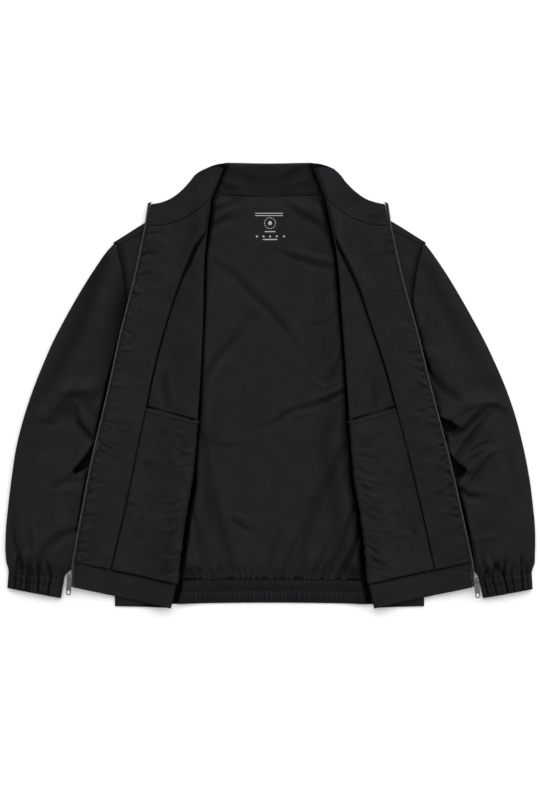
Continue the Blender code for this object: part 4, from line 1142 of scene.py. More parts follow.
sleeveFolds = {
    "left": foldTable(
        ([(-276, 205), (-295, 162), (-311, 112), (-334, 59), (-364, 6), (-381, -27)], 16, -7.5, 0, 0.9, 0.5),
        ([(-265, 142), (-275, 76), (-286, 17)], 14, 2, 0, 0.3, 0.3),
        ([(-331, -9), (-354, -34), (-376, -61), (-378, -94)], (8, 15), 6.5, 0, 0.8, 0.3),
        ([(-356, -48), (-334, -46), (-310, -32)], 13, -5, 0, 0.5, 0.8),
        ([(-336, -12), (-306, -7), (-285, -2), (-270, 9)], (13, 8), 4.4, 0, 0.9, 0.4),
        ([(-328, -17), (-305, -17), (-285, -19)], (6, 9), -2.4, 0, 0.9, 0.2),
        ([(-378, -64), (-361, -65), (-338, -59)], (7, 2.6), -3, 0, 0.9, 0.1),
        ([(-320, -27), (-308, -47), (-285, -74)], (6, 5), 3.6, 0, 0.5, 0.8),
        ([(-325, -46), (-310, -69), (-288, -94)], (4, 7), -7, 0, 0.1, 1),
        ([(-295, -104), (-308, -119), (-326, -139)], (3, 8), 3.5, 0, 0.8, 0.8),
        ([(-308, -160), (-331, -160), (-356, -170)], (3, 7), -3, 0, 0.6, 0.7),
        ([(-308, -168), (-331, -173), (-358, -177)], (8, 3), 2, 0, 0.3, 0.3),
        ([(-321, -178), (-344, -183)], 3, -1.2, 0, 0.4, 0.2),
        ([(-321, -230), (-351, -240), (-371, -256), (-388, -280)], (6, 14), 4.5, 0, 0.5, 0.4),
        ([(-320, -238), (-344, -250), (-364, -266), (-379, -285)], (8, 3), -3, 0, 0.7, 0.6),
        ([(-318, -198), (-325, -215), (-321, -230)], 4, -2.5, 0, 0.3, 0.8),
        ([(-426, -210), (-424, -248), (-416, -281), (-409, -303)], 5, -4.5, 0, 0.2, 1),
        ([(-411, -207), (-408, -248), (-403, -290)], 6, 2.2, 0, 0.2, 0.6),
        ([(-393, -223), (-388, -265), (-388, -293)], 5, 2, 0, 0.2, 0.6),
        ([(-265, 195), (-263, 212), (-256, 220)], 3, 2.2, 0, 0.3, 0.9),
    ),
    "right": foldTable(
        ([(266, 39), (276, 9), (288, -9), (305, -21), (318, -36)], (8, 7), -6, 0, 0.9, 0.2),
        ([(306, -39), (326, -39)], 2.2, -1.6, 0, 0.5, 0.3),
        ([(263, 188), (278, 150), (300, 109), (326, 67), (349, 22), (369, -11)], 15, -5, 0, 0.7, 0.3),
        ([(278, 67), (300, 17), (330, -21)], 12, 2, 0, 0.3, 0.3),
        ([(291, -54), (313, -42), (336, -33), (363, -28), (384, -32), (404, -49)], (14, 5), 5, 0, 0.7, 0.6),
        ([(303, -79), (323, -72), (344, -52), (366, -36), (388, -44)], (5, 7), -5.5, 0, 1, 0.5),
        ([(303, -92), (326, -74), (346, -56), (361, -42)], (4, 3.5), 3, 0, 0.8, 0.5),
        ([(313, -117), (323, -97), (339, -77), (356, -56), (363, -46)], 3.6, -4.2, 0, 0.8, 0.4),
        ([(315, -127), (333, -102), (354, -74), (379, -42)], (4, 11), 4.2, 0, 0.8, 0.4),
        ([(334, -107), (356, -96), (378, -95)], (2.6, 3.4), -2.6, 0, 0.6, 0.2),
        ([(339, -115), (361, -105), (376, -105)], 3, 2, 0, 0.6, 0.3),
        ([(333, -122), (353, -109), (369, -102)], 2.6, -2, 0, 0.7, 0.2),
        ([(330, -140), (349, -120), (368, -109), (378, -109)], 4, 2.6, 0, 0.6, 0.2),
        ([(333, -162), (349, -137), (364, -120), (378, -112)], (3, 7), -3.4, 0, 0.6, 0.3),
        ([(320, -110), (328, -140), (320, -160)], (8, 3), 3, 0, 0.7, 0.7),
        ([(315, -172), (330, -181), (358, -185)], (3.4, 6), -5.5, 0, 1, 0.1),
        ([(320, -164), (339, -172), (363, -177)], (9, 3), 2.4, 0, 0.6, 0.2),
        ([(391, -90), (403, -140), (411, -207)], 9, -2, 0, 0.3, 0.3),
        ([(379, -124), (391, -190)], 9, 1.6, 0, 0.3, 0.3),
        ([(344, -258), (366, -251), (388, -243)], (8, 3), 2, 0, 0.6, 0.1),
        ([(366, -276), (369, -288)], 3, -2.2, 0, 0.4, 0.8),
        ([(351, -286), (363, -316)], 4, -4.5, 0, 0.3, 1),
        ([(369, -291), (389, -316)], 4, -4.5, 0, 0.4, 1),
        ([(432, -286), (426, -311)], 4, -3, 0, 0.4, 1),
        ([(242, 205), (255, 212)], 2.5, -2.5, 0, 0.7, 0.4),
        ([(256, 190), (255, 203), (261, 215)], 2.5, -2.2, 0, 0.4, 0.7),
        ([(265, 195), (271, 205)], 2.5, 1.6, 0, 0.5, 0.5),
    ),
}
sleevePits = {  # deep hollows under the sleeve's leaning folds, painted dark inside: corner points
    "left": [
        [(-295, -90), (-330, -139), (-323, -149), (-303, -138), (-289, -112)],
        [(-223, 172), (-231, 168), (-258, 66), (-276, -14), (-262, 30)],
    ],
    "right": [
        [(280, -46), (303, -53), (315, -65), (306, -77), (294, -80), (281, -72)],
        [(298, -105), (329, -134), (322, -150), (311, -158), (300, -141), (292, -120)],
        [(250, 64), (258, 58), (272, 22), (262, 16)],
        [(309, -184), (320, -192), (335, -246), (322, -250)],
    ],
}


cuffLook = {
    "stations": 44, "insideStations": 12, "bottomSteps": 40, "cornerSteps": 5, "crownSteps": 190,
    "crownPower": 2.6, "height": 11.0, "least": 3.6,
    "corners": {  # y, x: outer and inner at the seam, outer and inner at the end
        "left": ((-309, 432.5), (-319, 340), (-335.5, 434.5), (-352.5, 345.5)),
        "right": ((-309.5, 434.5), (-320, 346.5), (-337.5, 436), (-352.5, 354)),
    },
    "valleys": {  # fraction from the inner edge at the seam, at the end, depth
        "left": (
            (0.045, 0.04, 1.8), (0.13, 0.14, 1.2), (0.234, 0.246, 4.2), (0.34, 0.33, 1.6),
            (0.459, 0.432, 4.0), (0.55, 0.53, 1.4), (0.604, 0.602, 3.4), (0.658, 0.659, 4.2),
            (0.766, 0.763, 3.2), (0.865, 0.867, 4.6), (0.94, 0.94, 1.8),
        ),
        "right": (
            (0.088, 0.105, 4.4), (0.17, 0.19, 1.8), (0.245, 0.274, 3.8), (0.35, 0.39, 1.6),
            (0.46, 0.505, 4.4), (0.54, 0.57, 1.6), (0.61, 0.63, 3.4), (0.70, 0.71, 1.4), (0.80, 0.80, 4.6),
            (0.90, 0.905, 2.6),
        ),
    },
    "valleyWidth": 0.021, "valleyPower": 1.3, "channelPower": 0.5, "channelValleys": 0.6, "puff": 2.2,
    "wander": (0.008, 18, 9, 51), "fine": (0.35, 6, 1.6, 61),  # height, turns along the cuff, size, seed
    # shade, shadeDepth and seamShade: painted shade in the valleys and along the seam
    "shade": 0.85, "shadeDepth": 4.0, "seamShade": 0.6,
    "gatherSeeds": {"left": 14, "right": 19}, "gatherDepth": -1.3,
}


def cuffCorner(side, index):
    y, x = cuffLook["corners"][side][index]
    return np.array((sides[side] * x, y))


def cuffGathers(side):  # folds that run from the cuff's valleys up into the sleeve
    random = np.random.RandomState(cuffLook["gatherSeeds"][side])
    rows = []
    for share, _, depth in cuffLook["valleys"][side]:
        x, y = mix(cuffCorner(side, 1), cuffCorner(side, 0), share)
        length = depth * random.uniform(4, 12)
        lean = sides[side] * (mix(0.55, -0.25, share) + random.uniform(-0.15, 0.15))
        path = [(x, y - 4), (x + lean * length * 0.4, y + length * 0.5), (x + lean * length, y + length)]
        rows.append(fold(path, random.uniform(2.0, 4.2), cuffLook["gatherDepth"] * depth, 0, 1.0, 0.0))
    return rows


sleeveDips = {  # where the sleeve dives under the edge of the folded front, with painted shade there: from y, to y, reach, depth
    "left": ((205, 0, 21, -8), (30, -110, 4.5, -9), (-100, -150, 8, -5), (-150, -240, 3.5, -8)),
    "right": (
        (160, 70, 4, -5), (85, -60, 9, -4.5), (-40, -190, 4.5, -9), (-178, -262, 6, -5),
        (-240, -300, 4.5, -9),
    ),
}


def zipDips(side):
    edge = sideCurve(layout["zipEdge"], side)
    rows = []
    for start, end, reach, depth in sleeveDips[side]:
        ys = np.linspace(start, end, 5)
        path = list(zip(np.interp(ys, edge[:, 1], edge[:, 0]), ys))  # it runs down: its left is the right
        rows.append(fold(path, (9, reach) if side == "left" else (reach, 9), depth, 0, 0.6, 0.5))
    return rows


sleeveLips = {  # edges of the hollows, which lean over them
    "left": foldTable(
        ([(-295, -92), (-312, -113), (-333, -143)], (7, 8), 3.0, 8, 0.9, 0.5),
        ([(-324, -154), (-308, -153), (-296, -160)], (5, 6), 1.0, 3.5, 0.6, 0.6),
        ([(-233, 172), (-258, 78), (-280, -14)], (6, 9), 2.0, 6, 0.3, 0.2),
    ),
    "right": foldTable(
        ([(320, -66), (304, -52), (279, -44)], (6, 8), 3.0, 8, 0.6, 0.9),
        ([(333, -137), (315, -119), (296, -100)], (6, 7), 2.5, 8, 0.6, 0.9),
        ([(300, -182), (312, -166), (326, -150)], (4, 5), 1.0, 4, 0.6, 0.6),
        ([(280, 4), (272, 30), (260, 62)], (5, 8), 1.5, 5, 0.2, 0.5),
        ([(339, -254), (333, -218), (326, -184)], (5, 8), 1.0, 5, 0.3, 0.3),
    ),
}
sleeveHollows = {side: (zipDips(side), cuffGathers(side)) for side in sides}
for side in sides:
    sleeveFolds[side] += sleeveHollows[side][0] + sleeveLips[side] + sleeveHollows[side][1]


def pitDepth(x, y, corners):  # how far each point lies inside a convex hollow
    inside = np.full(x.shape, 1e9)
    corners = np.array(corners, float)
    centre = corners.mean(axis=0)
    for start, end in zip(corners, np.roll(corners, -1, axis=0)):
        step = unit(end - start)
        turn = np.sign(step[0] * (centre[1] - start[1]) - step[1] * (centre[0] - start[0]))
        inside = np.minimum(inside, turn * (step[0] * (y - start[1]) - step[1] * (x - start[0])))
    return np.maximum(inside, 0)


def sleeveShade(side, x, y, depth):  # painted shade in the pits, the zip dips and the cuff gathers; depth: how far inside a hollow's outline
    dips, folds = (-np.minimum(foldHeight(x, y, hollows), 0) for hollows in sleeveHollows[side])
    look = sleeveLook["shade"]
    shade = np.maximum(smoothStep(depth / look["pit"]), np.clip(dips / look["dip"], 0, 1))
    return np.maximum(shade, look["gather"] * np.clip(folds / look["gatherDepth"], 0, 1))


def ringSection(inner, outer, height, inset, look):  # flat below, crowned above
    low, high = inset, height - inset
    edge = min(5.5, height / 2)
    width = np.linalg.norm(outer - inner)
    flat = 1 - 2 * min(edge, width / 4) / width
    points = [(q, low, 0.0) for q in np.linspace(-flat, flat, look["bottomSteps"])]
    corner = []
    for k in range(1, look["cornerSteps"]):
        angle = math.pi / 2 * k / look["cornerSteps"]
        q, z = mix(flat, 1, math.sin(angle)), mix(low, edge, 1 - math.cos(angle))
        corner.append((q, z, 0.0))
    points += corner
    for even in np.linspace(1, -1, look["crownSteps"] + 1):
        q = mix(math.sin(math.pi / 2 * even), even, 0.6)  # nearly even steps, closer at the two edges
        rise = math.sqrt(max(1 - abs(q) ** look["crownPower"], 0.0))
        points.append((q, edge + (high - edge) * rise, rise))
    points += [(-q, z, rise) for q, z, rise in reversed(corner)]
    q, z, rise = np.array(points).T
    start, end = mix(inner, outer, inset / width), mix(outer, inner, inset / width)
    share = (q + 1) / 2
    return mix(start, end, share[:, None]), z, rise, share


def armholeRim(share, side):
    over = smoothStep((share - 0.985) / 0.015)[..., None]
    first, gap = sleeveLook["outer"][0], np.array((sleeveLook["armholeGap"], 0.0))
    past = np.array((first[1], first[0])) - layout["shoulderPoint"]
    return armhole(share, side) + mix(gap, past, over) * (sides[side], 1)


def sleeveRing(side, share, start, end, inset):
    look = sleeveLook
    height = tableAt(look["height"][side], share)
    plan, z, rise, across = ringSection(start, end, height, inset, look)
    follow = smoothStep(1 - share / look["follow"])
    plan = plan + follow * (armholeRim(across, side) - mix(start, end, across[:, None]))
    x, y = plan.T
    depth = np.max([pitDepth(x, y, corners) for corners in sleevePits[side]], axis=0)
    move = foldMove(x, y, sleeveFolds[side])
    move[:, 2] += lumps(x, y, look["lumps"], sides[side])
    # painted shade in the hollows and in the folds' troughs
    troughs = troughShade(move[:, 2], *look["trough"])
    shade = np.maximum(sleeveShade(side, x, y, depth), troughs) * (rise > 0)
    room = np.minimum(max(height - 3, 0) / 8, 1) * rise ** 0.8 * smoothStep(share / 0.05)
    z = z + np.maximum(move[:, 2], look["least"] + inset - height) * room
    plan = plan + move[:, :2] * room[:, None]
    lowest = np.minimum(z, look["pitFloor"] - 0.5 * inset)
    z = np.where(rise > 0, np.maximum(z - depth * look["pitSlope"], lowest), z)
    return np.column_stack((plan, z, shade))


def buildSleeve(side):
    look = sleeveLook
    outer, inner = sideCurve(look["outer"], side), sideCurve(look["inner"], side)
    outer[-1], inner[-1] = (cuffCorner(side, k) - (0, look["cuffTuck"]) for k in (0, 1))
    shares = np.linspace(0, 1, look["stations"]) ** look["crowding"]
    shells = []
    for inset, stations in ((0.0, shares), (layout["clothWall"], (*shares[:-1:look["insideStep"]], 1.0))):
        rings = []
        for share in stations:
            start, end = curveAt(inner, share ** look["fan"]), curveAt(outer, share)
            rings.append(sleeveRing(side, share, start, end, inset))
        shells.append(np.stack(rings))
    return tubePiece(f"sleeve_{side}_cloth", *shells, shellCloth)


def cuffRing(side, share, inset):
    look = cuffLook
    outer, inner = (mix(cuffCorner(side, k), cuffCorner(side, k + 2), share) for k in (0, 1))
    plan, z, rise, across = ringSection(inner, outer, look["height"], inset, look)
    wander, fine = (
        height * softNoise(across * 100, np.full_like(across, share * turns), size, seed + sides[side])
        for height, turns, size, seed in (look["wander"], look["fine"])
    )
    dip = np.zeros_like(across)
    for atSeam, atEnd, depth in look["valleys"][side]:
        gap = np.abs(across + wander - mix(atSeam, atEnd, share)) / look["valleyWidth"]
        dip = dip + depth * np.exp(-gap ** look["valleyPower"])
    channel = abs(math.sin(2 * math.pi * share)) ** look["channelPower"]
    lift = look["puff"] * channel + fine - dip * mix(look["channelValleys"], 1, channel)
    lift = np.maximum(lift, look["least"] + inset - look["height"])
    # painted shade in the valleys between the gathers and along the seam
    shade = look["shade"] * np.clip(dip / look["shadeDepth"], 0, 1)
    shade = np.maximum(shade, look["seamShade"] * (share == 0))
    return np.column_stack((plan, z + lift * rise, shade * (rise > 0)))


def buildCuff(side):
    shells = []
    for inset, count in ((0.0, cuffLook["stations"]), (layout["clothWall"], cuffLook["insideStations"])):
        shells.append(np.stack([cuffRing(side, share, inset) for share in np.linspace(0, 1, count)]))
    return tubePiece(f"cuff_{side}_cloth", *shells, bandCloth)


# Build the cloth

builders = {"facing": buildFacing, "pocket": buildPocket, "sleeve": buildSleeve, "cuff": buildCuff}
pieces = {"back": buildBack(), "hem_back": buildHemBack(), "collar": buildCollar()}
for side in sides:
    pieces[f"front_{side}"], pieces[f"hem_front_{side}"] = buildFront(side)
    for name, build in builders.items():
        pieces[f"{name}_{side}"] = build(side)
for node, piece in pieces.items():
    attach(piece, "jacket")
    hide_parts(node)
print("cloth ready")


# What repeats along a path: stitches and the turns of the zip's coil

def repeatTree():
    tree = bpy.data.node_groups.new("repeat_along_path", "GeometryNodeTree")
    sockets = {}
    for name, kind in (
        ("Paths", "Geometry"), ("Item", "Object"), ("Spacing", "Float"), ("Unevenness", "Float"),
        ("Seed", "Int"), ("Finish", "Material"),
    ):
        socket = tree.interface.new_socket(name, in_out="INPUT", socket_type="NodeSocket" + kind)
        sockets[name] = socket.identifier
    tree.interface.new_socket("Items", in_out="OUTPUT", socket_type="NodeSocketGeometry")
    given = addNode(tree, "NodeGroupInput")
    curve = {"Curve": addNode(tree, "GeometryNodeMeshToCurve", {"Mesh": given["Paths"]})["Curve"]}
    points = addNode(tree, "GeometryNodeCurveToPoints", {**curve, "Length": given["Spacing"]}, mode="LENGTH")
    up = addNode(tree, "GeometryNodeInputNamedAttribute", {"Name": "up"}, data_type="FLOAT_VECTOR")
    align, choice = "FunctionNodeAlignRotationToVector", "FunctionNodeRandomValue"
    along = addNode(tree, align, {"Vector": points["Tangent"]}, axis="X")["Rotation"]
    facing = {"Rotation": along, "Vector": up["Attribute"]}
    turn = addNode(tree, align, facing, axis="Z", pivot_axis="X")["Rotation"]
    less, more = (
        addNode(tree, "ShaderNodeMath", {0: 1.0, 1: given["Unevenness"]}, operation=operation)[0]
        for operation in ("SUBTRACT", "ADD")
    )
    stretch = addNode(tree, choice, {2: less, 3: more, "Seed": given["Seed"]}, data_type="FLOAT")[1]
    item = addNode(tree, "GeometryNodeObjectInfo", {"Object": given["Item"]})["Geometry"]
    placed = addNode(tree, "GeometryNodeInstanceOnPoints", {
        "Points": points["Points"], "Instance": item, "Rotation": turn, "Scale": stretch,
    })
    real = addNode(tree, "GeometryNodeRealizeInstances", {"Geometry": placed["Instances"]})
    finished = {"Geometry": real["Geometry"], "Material": given["Finish"]}
    items = addNode(tree, "GeometryNodeSetMaterial", finished)["Geometry"]
    addNode(tree, "NodeGroupOutput", {"Items": items})
    return tree, sockets


repeatGroup, repeatSockets = repeatTree()


def repeatAlong(name, paths, item, spacing, unevenness, seed, finish):  # paths: points and up directions
    edges, base = [], 0
    for points, _ in paths:
        edges += [(base + k, base + k + 1) for k in range(len(points) - 1)]
        base += len(points)
    verts, ups = (np.concatenate([path[k] for path in paths]).astype(float) for k in (0, 1))
    mesh = bpy.data.meshes.new(name)
    mesh.from_pydata((verts * mm).tolist(), edges, [])
    mesh.attributes.new("up", "FLOAT_VECTOR", "POINT").data.foreach_set("vector", ups.reshape(-1))
    holder = bpy.data.objects.new(name + "_path", mesh)
    bpy.context.scene.collection.objects.link(holder)
    modifier = holder.modifiers.new("repeat", "NODES")
    modifier.node_group = repeatGroup
    given = {"Item": item, "Spacing": spacing * mm, "Unevenness": unevenness, "Seed": seed, "Finish": finish}
    for key, value in given.items():
        modifier[repeatSockets[key]] = value
    graph = bpy.context.evaluated_depsgraph_get()
    result = bpy.data.meshes.new_from_object(holder.evaluated_get(graph), depsgraph=graph)
    bpy.data.objects.remove(holder)
    bpy.data.objects.remove(item)
    result.name = name
    return makeObject(name, result, finish)


# Zip: tape, coil, slider and pull

zipLook = {
    "tapeWall": 0.7, "coilIn": 1.15, "coilWide": 1.0, "coilHigh": 0.62, "coilLift": 1.55, "wire": 0.3,
    "turnSteps": 8, "wireSides": 4, "pitch": 1.5, "tip": 4.5, "tipRise": 0.8, "tipTurn": 0.9, "puckers": 0.6,
    "bevel": 0.25,
}


def zipStations(side, tip=False):  # edge point, inward direction and height of the tape's middle
    front = fronts[side]
    stations = []
    for part, shares in ((0, np.linspace(0.02, 0.9, 6)), (1, np.linspace(0, 1, 200))):
        for share in shares:
            _, _, _, edge, out = front.rows(np.array(share), part)
            height = front.height(np.array(share if part else 0.0), np.array(1.0))
            height = height + zipLook["puckers"] * flapFolds(side, edge[None, 0], edge[None, 1])[0]
            stations.append((edge, -out, float(height)))
    start, low = stations[-1][0], stations[-1][2]
    end = sideCurve(layout["zipEdge"], side)[-1]
    last, inward = stations[199][1], np.array((-sides[side], 0.0))
    for share in (0.25, 0.5, 0.75, 1.0):
        stations.append((mix(start, end, share), unit(mix(last, inward, share)), low))
    for share in (0.5, 1.0) if tip else ():
        turned = unit(unit(end - start) + zipLook["tipTurn"] * share * inward)
        stations.append((end + turned * zipLook["tip"] * share, inward, low + zipLook["tipRise"] * share))
    return stations


def buildTape(side):
    across = np.linspace(0.2, layout["tapeWidth"], 6)[:, None]
    rows = [atHeight(edge + inward * across, z) for edge, inward, z in zipStations(side, tip=True)]
    return clothPiece(f"zip_tape_{side}_cloth", [np.stack(rows)], tapeFinish, zipLook["tapeWall"])


def buildCoil(side):
    look = zipLook
    points = []
    for edge, inward, z in zipStations(side):
        points.append((*(edge + inward * look["coilIn"]), z + look["coilLift"]))
    rings = []
    for share in np.linspace(0, 1, look["turnSteps"] + 1):
        angle = 2 * math.pi * share
        out = np.array((0, math.cos(angle), math.sin(angle)))
        centre = out * (1, look["coilWide"], look["coilHigh"]) + (look["pitch"] * (share - 0.5), 0, 0)
        ring = []
        for spin in 2 * math.pi * np.arange(look["wireSides"]) / look["wireSides"]:
            ring.append(centre + look["wire"] * (out * math.cos(spin) + (math.sin(spin), 0, 0)))
        rings.append(ring)
    turn, up = solidItem("coil_turn", rings), [(0, 0, 1)] * len(points)
    return repeatAlong(f"zip_coil_{side}_turns", [(points, up)], turn, look["pitch"], 0.0, 1, coilFinish)


def softenedCopy(node):  # a CAD node's shape with its edges rounded
    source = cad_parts[node]
    mesh = source.data.copy()
    mesh.transform(source.matrix_world)
    work = bmesh.new()
    work.from_mesh(mesh)
    bmesh.ops.remove_doubles(work, verts=work.verts[:], dist=0.00001)
    bmesh.ops.dissolve_limit(work, angle_limit=math.radians(1), verts=work.verts[:], edges=work.edges[:])
    sharp = [edge for edge in work.edges if len(edge.link_faces) == 2 and edge.calc_face_angle(0) > 0.6]
    bmesh.ops.bevel(
        work, geom=sharp, offset=zipLook["bevel"] * mm, segments=2, profile=0.5, affect="EDGES",
        clamp_overlap=True,
    )
    bmesh.ops.triangulate(work, faces=[face for face in work.faces if len(face.verts) > 4])
    bmesh.ops.recalc_face_normals(work, faces=work.faces[:])
    work.to_mesh(mesh)
    work.free()
    item = makeObject(node + "_metal", mesh, metalFinish)
    item.data.shade_flat()
    return item


for side in sides:
    pull = f"pull_{side}"
    for node, piece, body, slot in (
        (f"zip_tape_{side}", buildTape(side), "jacket", "zip_tape"),
        (f"zip_coil_{side}", buildCoil(side), "jacket", "zip_coil"),
        (f"slider_{side}", softenedCopy(f"slider_{side}"), "jacket", "zip_metal"),
        (pull, softenedCopy(pull), pull, "zip_metal"),
    ):
        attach(piece, body)
        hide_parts(node)
print("zip ready")


# Stitches, drawn into the cloth along every seam that shows

stitchLook = {
    "pitch": 3.1, "uneven": 0.12, "step": 2.4, "fromEdge": 2.2, "second": 7.0, "pocketHem": 9.0, "above": 3,
    "shape": (  # x, half width, bottom, top
        (-1.1, 0.12, -0.2, 0.0), (-0.6, 0.26, -0.1, 0.3), (0.6, 0.26, -0.1, 0.3), (1.1, 0.12, -0.2, 0.0),
    ),
    "topWidth": 0.55,
}
surfaces = {}


def laidOn(node, plan, above=60.0):  # plan points dropped onto a piece: places and directions
    if node not in surfaces:
        surfaces[node] = BVHTree.FromObject(pieces[node], bpy.context.evaluated_depsgraph_get())
    points, normals = [], []
    for x, y in plan:
        spot, normal, _, _ = surfaces[node].ray_cast(Vector((x, y, above)) * mm, Vector((0, 0, -1)))
        if spot is not None:
            points.append(np.array(spot) / mm)
            normals.append(np.array(normal) * (1 if normal.z > 0 else -1))
    return np.array(points), np.array(normals)


def evenly(path):  # points a step apart along a plan path
    path = np.asarray(path, float)[:, :2]
    length = np.linalg.norm(np.diff(path, axis=0), axis=1).sum()
    return curveAt(path, np.linspace(0, 1, max(int(length / stitchLook["step"]), 3)))


def beside(path, distance):  # a plan path moved to its left
    step = unit(np.gradient(path, axis=0))
    return path + distance * np.stack((-step[:, 1], step[:, 0]), axis=-1)


def frontRows(side):
    front, sign, look = fronts[side], sides[side], stitchLook
    hem, pocket = f"hem_front_{side}", f"pocket_{side}"
    rows = []
    for node, part, stations in ((f"facing_{side}", 1, (0.004, 0.985, 60)), (hem, 0, (0.05, 0.96, 5))):
        _, _, clothEdge, _, out = front.rows(np.linspace(*stations), part)
        rows.append((node, clothEdge - out * look["fromEdge"]))
    across = np.linspace(0.04, 0.97, 24)
    rows.append((hem, front.flap(np.full(24, 0.94), across, 0)))
    rows.append(("collar", front.flap(np.ones(24), across) + (0, look["fromEdge"] + layout["gap"], 0)))
    table = np.array(layout["collarBack"], float)
    neck = curveAt(table[:, :2], np.linspace(0.0, 0.93, 12)) * (sign, 1) + (0, look["fromEdge"])
    rows.append(("collar", neck))
    x = np.linspace(abs(foldLineAt(side, pocketLook["topAtFold"])) + 3, pocketLook["facingX"][side] - 3, 8)
    rows.append((pocket, np.stack((sign * x, pocketTopY(front, x) - look["pocketHem"]), axis=-1)))
    sleeveSeam = armhole(np.linspace(0.72, 0.985, 12), side)
    neckEnd, shoulderEnd = front.rows(np.array(1.0))[1], np.array(layout["shoulderPoint"]) * (sign, 1)
    shoulderSeam = mix(shoulderEnd, neckEnd, np.linspace(0.02, 0.4, 6)[:, None])
    for distance in (look["fromEdge"], look["second"]):
        for seam, way in ((sleeveSeam, -sign), (shoulderSeam, sign)):
            rows.append((f"front_{side}", beside(seam, way * distance), layout["high"] + look["above"]))
    return rows


def bandRows():
    x = np.linspace(foldLineAt("left", -340) + 2, foldLineAt("right", -340) - 2, 60)
    rows = [("hem_back", np.stack((x, hemLine(x, level)), axis=-1)) for level in (0.05, 0.5)]
    for side in sides:
        for share in (0.08, 0.5):
            outer, inner = (mix(cuffCorner(side, k), cuffCorner(side, k + 2), share) for k in (0, 1))
            rows.append((f"cuff_{side}", mix(inner, outer, np.linspace(0.03, 0.97, 30)[:, None])))
    return rows


def buildStitches():
    look = stitchLook
    rows = bandRows() + frontRows("left") + frontRows("right")
    paths = [laidOn(node, evenly(path), *above) for node, path, *above in rows]
    paths = [path for path in paths if len(path[0]) > 1]
    rings = []
    for x, half, bottom, top in look["shape"]:
        topHalf = half * look["topWidth"]
        corners = ((-half, bottom), (half, bottom), (topHalf, top), (-topHalf, top))
        rings.append([(x, y, z) for y, z in corners])
    stitch = solidItem("stitch", rings)
    return repeatAlong("stitches", paths, stitch, look["pitch"], look["uneven"], 7, threadFinish)


stitches = buildStitches()
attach(stitches, "jacket")
print("stitches ready")


# Plain marks printed inside the neck: bars, a ring of dashes round a dot, and a row of dots

printLook = {
    "wall": 0.16, "lift": 0.14, "step": 1.5,
    "bars": (  # x, y, width, height
        (-1, 285.4, 46, 1.3), (-1, 281.6, 46, 1.3), (1, 255, 18, 1.8), (1, 242, 24, 1.8),
    ),
    "dots": ((-21, 247), (-10, 247), (1, 247), (12, 247), (24, 247)),
    "dotRadius": 1.7,
    "ring": (0.8, 269, 9.0, 14),  # x, y, radius, dashes
    "dash": (2.4, 1.3),
    "middleRadius": 3.4,
}


def markGrid(centre, width, height, turn=0.0, rounded=False):
    columns, rows = (max(int(size / printLook["step"]), 4) + 1 for size in (width, height))
    u, v = np.meshgrid(np.linspace(-1, 1, columns), np.linspace(-1, 1, rows))
    if rounded:
        u, v = u * np.sqrt(1 - v * v / 2), v * np.sqrt(1 - u * u / 2)
    x, y = u * width / 2, v * height / 2
    x, y = x * math.cos(turn) - y * math.sin(turn), x * math.sin(turn) + y * math.cos(turn)
    plan = np.stack((centre[0] + x, centre[1] + y), axis=-1)
    points, normals = laidOn("back", plan.reshape(-1, 2))
    return (points + normals * printLook["lift"]).reshape(rows, columns, 3)


def buildPrint():
    look = printLook
    x, y, radius, count = look["ring"]
    grids = [markGrid((barX, barY), width, height) for barX, barY, width, height in look["bars"]]
    dots = [(*dot, look["dotRadius"]) for dot in look["dots"]] + [(x, y, look["middleRadius"])]
    for *spot, dotRadius in dots:
        grids.append(markGrid(spot, 2 * dotRadius, 2 * dotRadius, rounded=True))
    for angle in 2 * math.pi * np.arange(count) / count:
        spot = (x + radius * math.cos(angle), y + radius * math.sin(angle))
        grids.append(markGrid(spot, *look["dash"], turn=angle + math.pi / 2))
    return clothPiece("neck_print", grids, printFinish, look["wall"])


neckPrint = buildPrint()
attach(neckPrint, "jacket")
print("print ready")


# What each sheet was cut to: width and length, area and how it is held. Tubes are given all round.

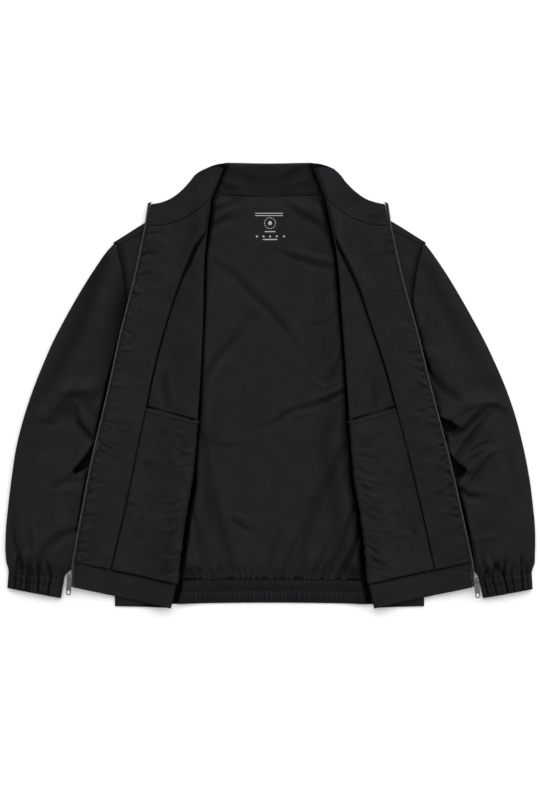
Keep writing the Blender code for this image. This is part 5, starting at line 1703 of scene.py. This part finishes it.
sheetCuts = {
    "back": (0.58, 0.66, 0.335, "laid", ("floor",)),
    "hem_back": (0.66, 0.042, None, "gathered", ("floor",)),
    "collar": (0.50, 0.056, None, "folded", ("floor",)),
    "front": (0.33, 0.64, 0.165, "folded", ("back",)),
    "hem_front": (0.30, 0.038, None, "folded", ("hem_back",)),
    "facing": (0.12, 0.61, 0.039, "laid", ("front",)),
    "pocket": (0.14, 0.29, 0.032, "laid", ("front",)),
    "sleeve": (0.36, 0.56, 0.131, "laid", ("floor",)),
    "cuff": (0.25, 0.031, None, "gathered", ("floor",)),
    "zip_tape": (0.01, 0.66, 0.0034, "laid", ("front",)),
}
for side in sides:
    pieces[f"zip_tape_{side}"] = bpy.data.objects[f"zip_tape_{side}_cloth"]
for node, piece in pieces.items():
    ending = "_" + node.split("_")[-1]
    name = node if node in sheetCuts else node.removesuffix(ending)


# Stage

stageLook = {
    "floorColor": (0.85, 0.85, 0.85), "worldStrength": 0.52, "cameraHeight": 3.4, "viewHeight": 1.3446,
    "centre": (0.0008, -0.0324), "floorHalf": 6.0, "floorDrop": 0.0004, "sensor": 24,
    "suns": {  # strength, then height, bearing and size in degrees
        "key": (2.2, 54, -22, 95), "low": (1.7, 28, -10, 85),
    },
}


def buildStage():
    look, half = stageLook, stageLook["floorHalf"]
    mesh = bpy.data.meshes.new("floor")
    corners = [(-half, -half, 0), (half, -half, 0), (half, half, 0), (-half, half, 0)]
    mesh.from_pydata(corners, [], [(0, 1, 2, 3)])
    material, _, _ = newMaterial("pale_floor", {
        "Base Color": (*look["floorColor"], 1), "Roughness": 0.9, "Specular IOR Level": 0.1,
    })
    floor = makeObject("floor", mesh, material)
    floor.location.z = -look["floorDrop"]
    world = bpy.data.worlds.new("studio")
    world.use_nodes = True
    background = {"Color": (1, 1, 1, 1), "Strength": look["worldStrength"]}
    feed(world.node_tree, world.node_tree.nodes["Background"], background)
    bpy.context.scene.world = world
    for name, (strength, elevation, bearing, size) in look["suns"].items():
        light = bpy.data.lights.new(name, "SUN")
        light.energy = strength
        light.angle = math.radians(size)
        lamp = bpy.data.objects.new(name, light)
        bpy.context.scene.collection.objects.link(lamp)
        lamp.rotation_euler = (-math.radians(90 - elevation), 0, math.radians(bearing))
    camera = bpy.data.objects.new("camera", bpy.data.cameras.new("camera"))
    bpy.context.scene.collection.objects.link(camera)
    camera.location = (*look["centre"], look["cameraHeight"])
    camera.data.sensor_fit = "VERTICAL"
    camera.data.sensor_height = look["sensor"]
    camera.data.lens = look["sensor"] * look["cameraHeight"] / look["viewHeight"]
    bpy.context.scene.camera = camera
    bpy.context.scene.view_settings.view_transform = "Standard"


buildStage()
